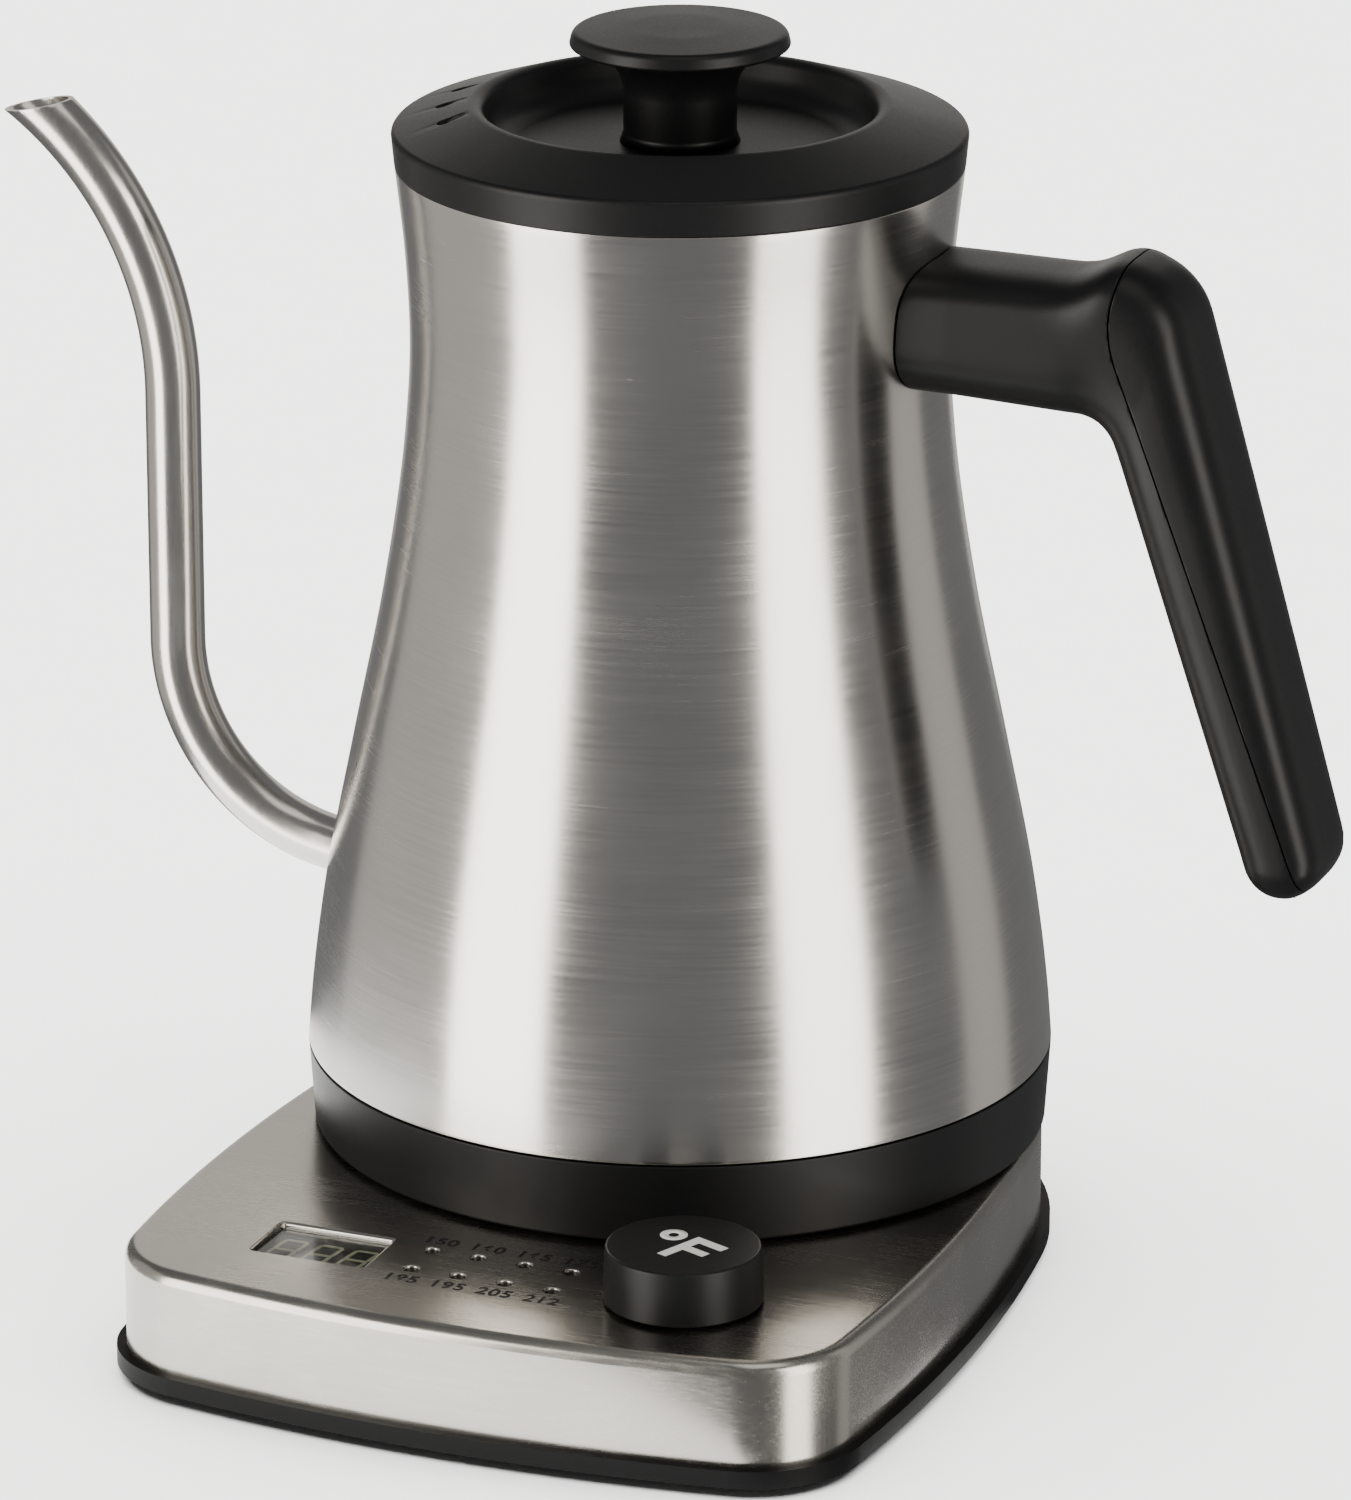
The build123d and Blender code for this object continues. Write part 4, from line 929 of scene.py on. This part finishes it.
def keep_to(light_object, things, state):
    """Let a light reach only these things ("INCLUDE"), or everything but them ("EXCLUDE")."""
    group = bpy.data.collections.new(light_object.name + "_reach")
    for thing in things:
        group.objects.link(thing)
    light_object.light_linking.receiver_collection = group
    for member in group.collection_objects:
        member.light_linking.link_state = state


# name, side in degrees, distance, height, size in metres, power in watts
for name, degrees, distance, height, size, power in (
        ("left_panel", -58, 1.9, 0.25, (1.10, 2.5), 60),
        ("right_panel", 45.5, 1.9, 0.25, (0.95, 2.5), 44),
        ("left_side_panel", -102, 1.9, 0.25, (1.9, 2.5), 6.0),
        ("right_side_panel", 108, 1.9, 0.25, (0.8, 2.5), 2.5),
        ("back_panel", 178, 1.9, 0.5, (1.6, 2.0), 7),
        ("top_panel", 20, 0.5, 1.6, (0.9, 0.9), 3)):
    light = bpy.data.lights.new(name, "AREA")
    light.shape = "RECTANGLE"
    light.size, light.size_y = size
    light.energy = power
    light.color = colour("#fffaf2")[:3]
    lamp_object = bpy.data.objects.new(name, light)
    lamp_object.location = around(degrees, distance, height)
    lamp_object.rotation_euler = (TARGET - lamp_object.location).to_track_quat("-Z", "Y").to_euler()
    lamp_object.visible_camera = False
    bpy.context.collection.objects.link(lamp_object)
    keep_to(lamp_object, (floor, apron), "EXCLUDE")

sky = bpy.data.lights.new("floor_light", "SUN")
sky.energy = 13
sky.angle = math.radians(100)
sky_object = bpy.data.objects.new("floor_light", sky)
sky_object.rotation_euler = (math.radians(-12), 0, 0)
bpy.context.collection.objects.link(sky_object)
keep_to(sky_object, (floor, apron), "INCLUDE")

# %% [markdown]
# ## Camera
# A long lens from the front right, a little above, so the vessel's sides stay nearly upright.
# A short lens close by would show the same sides but make the lid look larger than the foot.

# %%
DISTANCE, RISE = 1.5748, math.radians(19.113)
camera = bpy.data.objects.new("camera", bpy.data.cameras.new("camera"))
camera.location = around(0, DISTANCE * math.cos(RISE), TARGET.z + DISTANCE * math.sin(RISE))
camera.rotation_euler = (TARGET - camera.location).to_track_quat("-Z", "Y").to_euler()
camera.data.sensor_fit = "VERTICAL"
camera.data.sensor_height = 36
camera.data.lens = 202.5
camera.data.shift_x = -0.0031
camera.data.clip_start = 0.05
bpy.context.collection.objects.link(camera)
bpy.context.scene.camera = camera

# %%
bpy.context.view_layer.update()
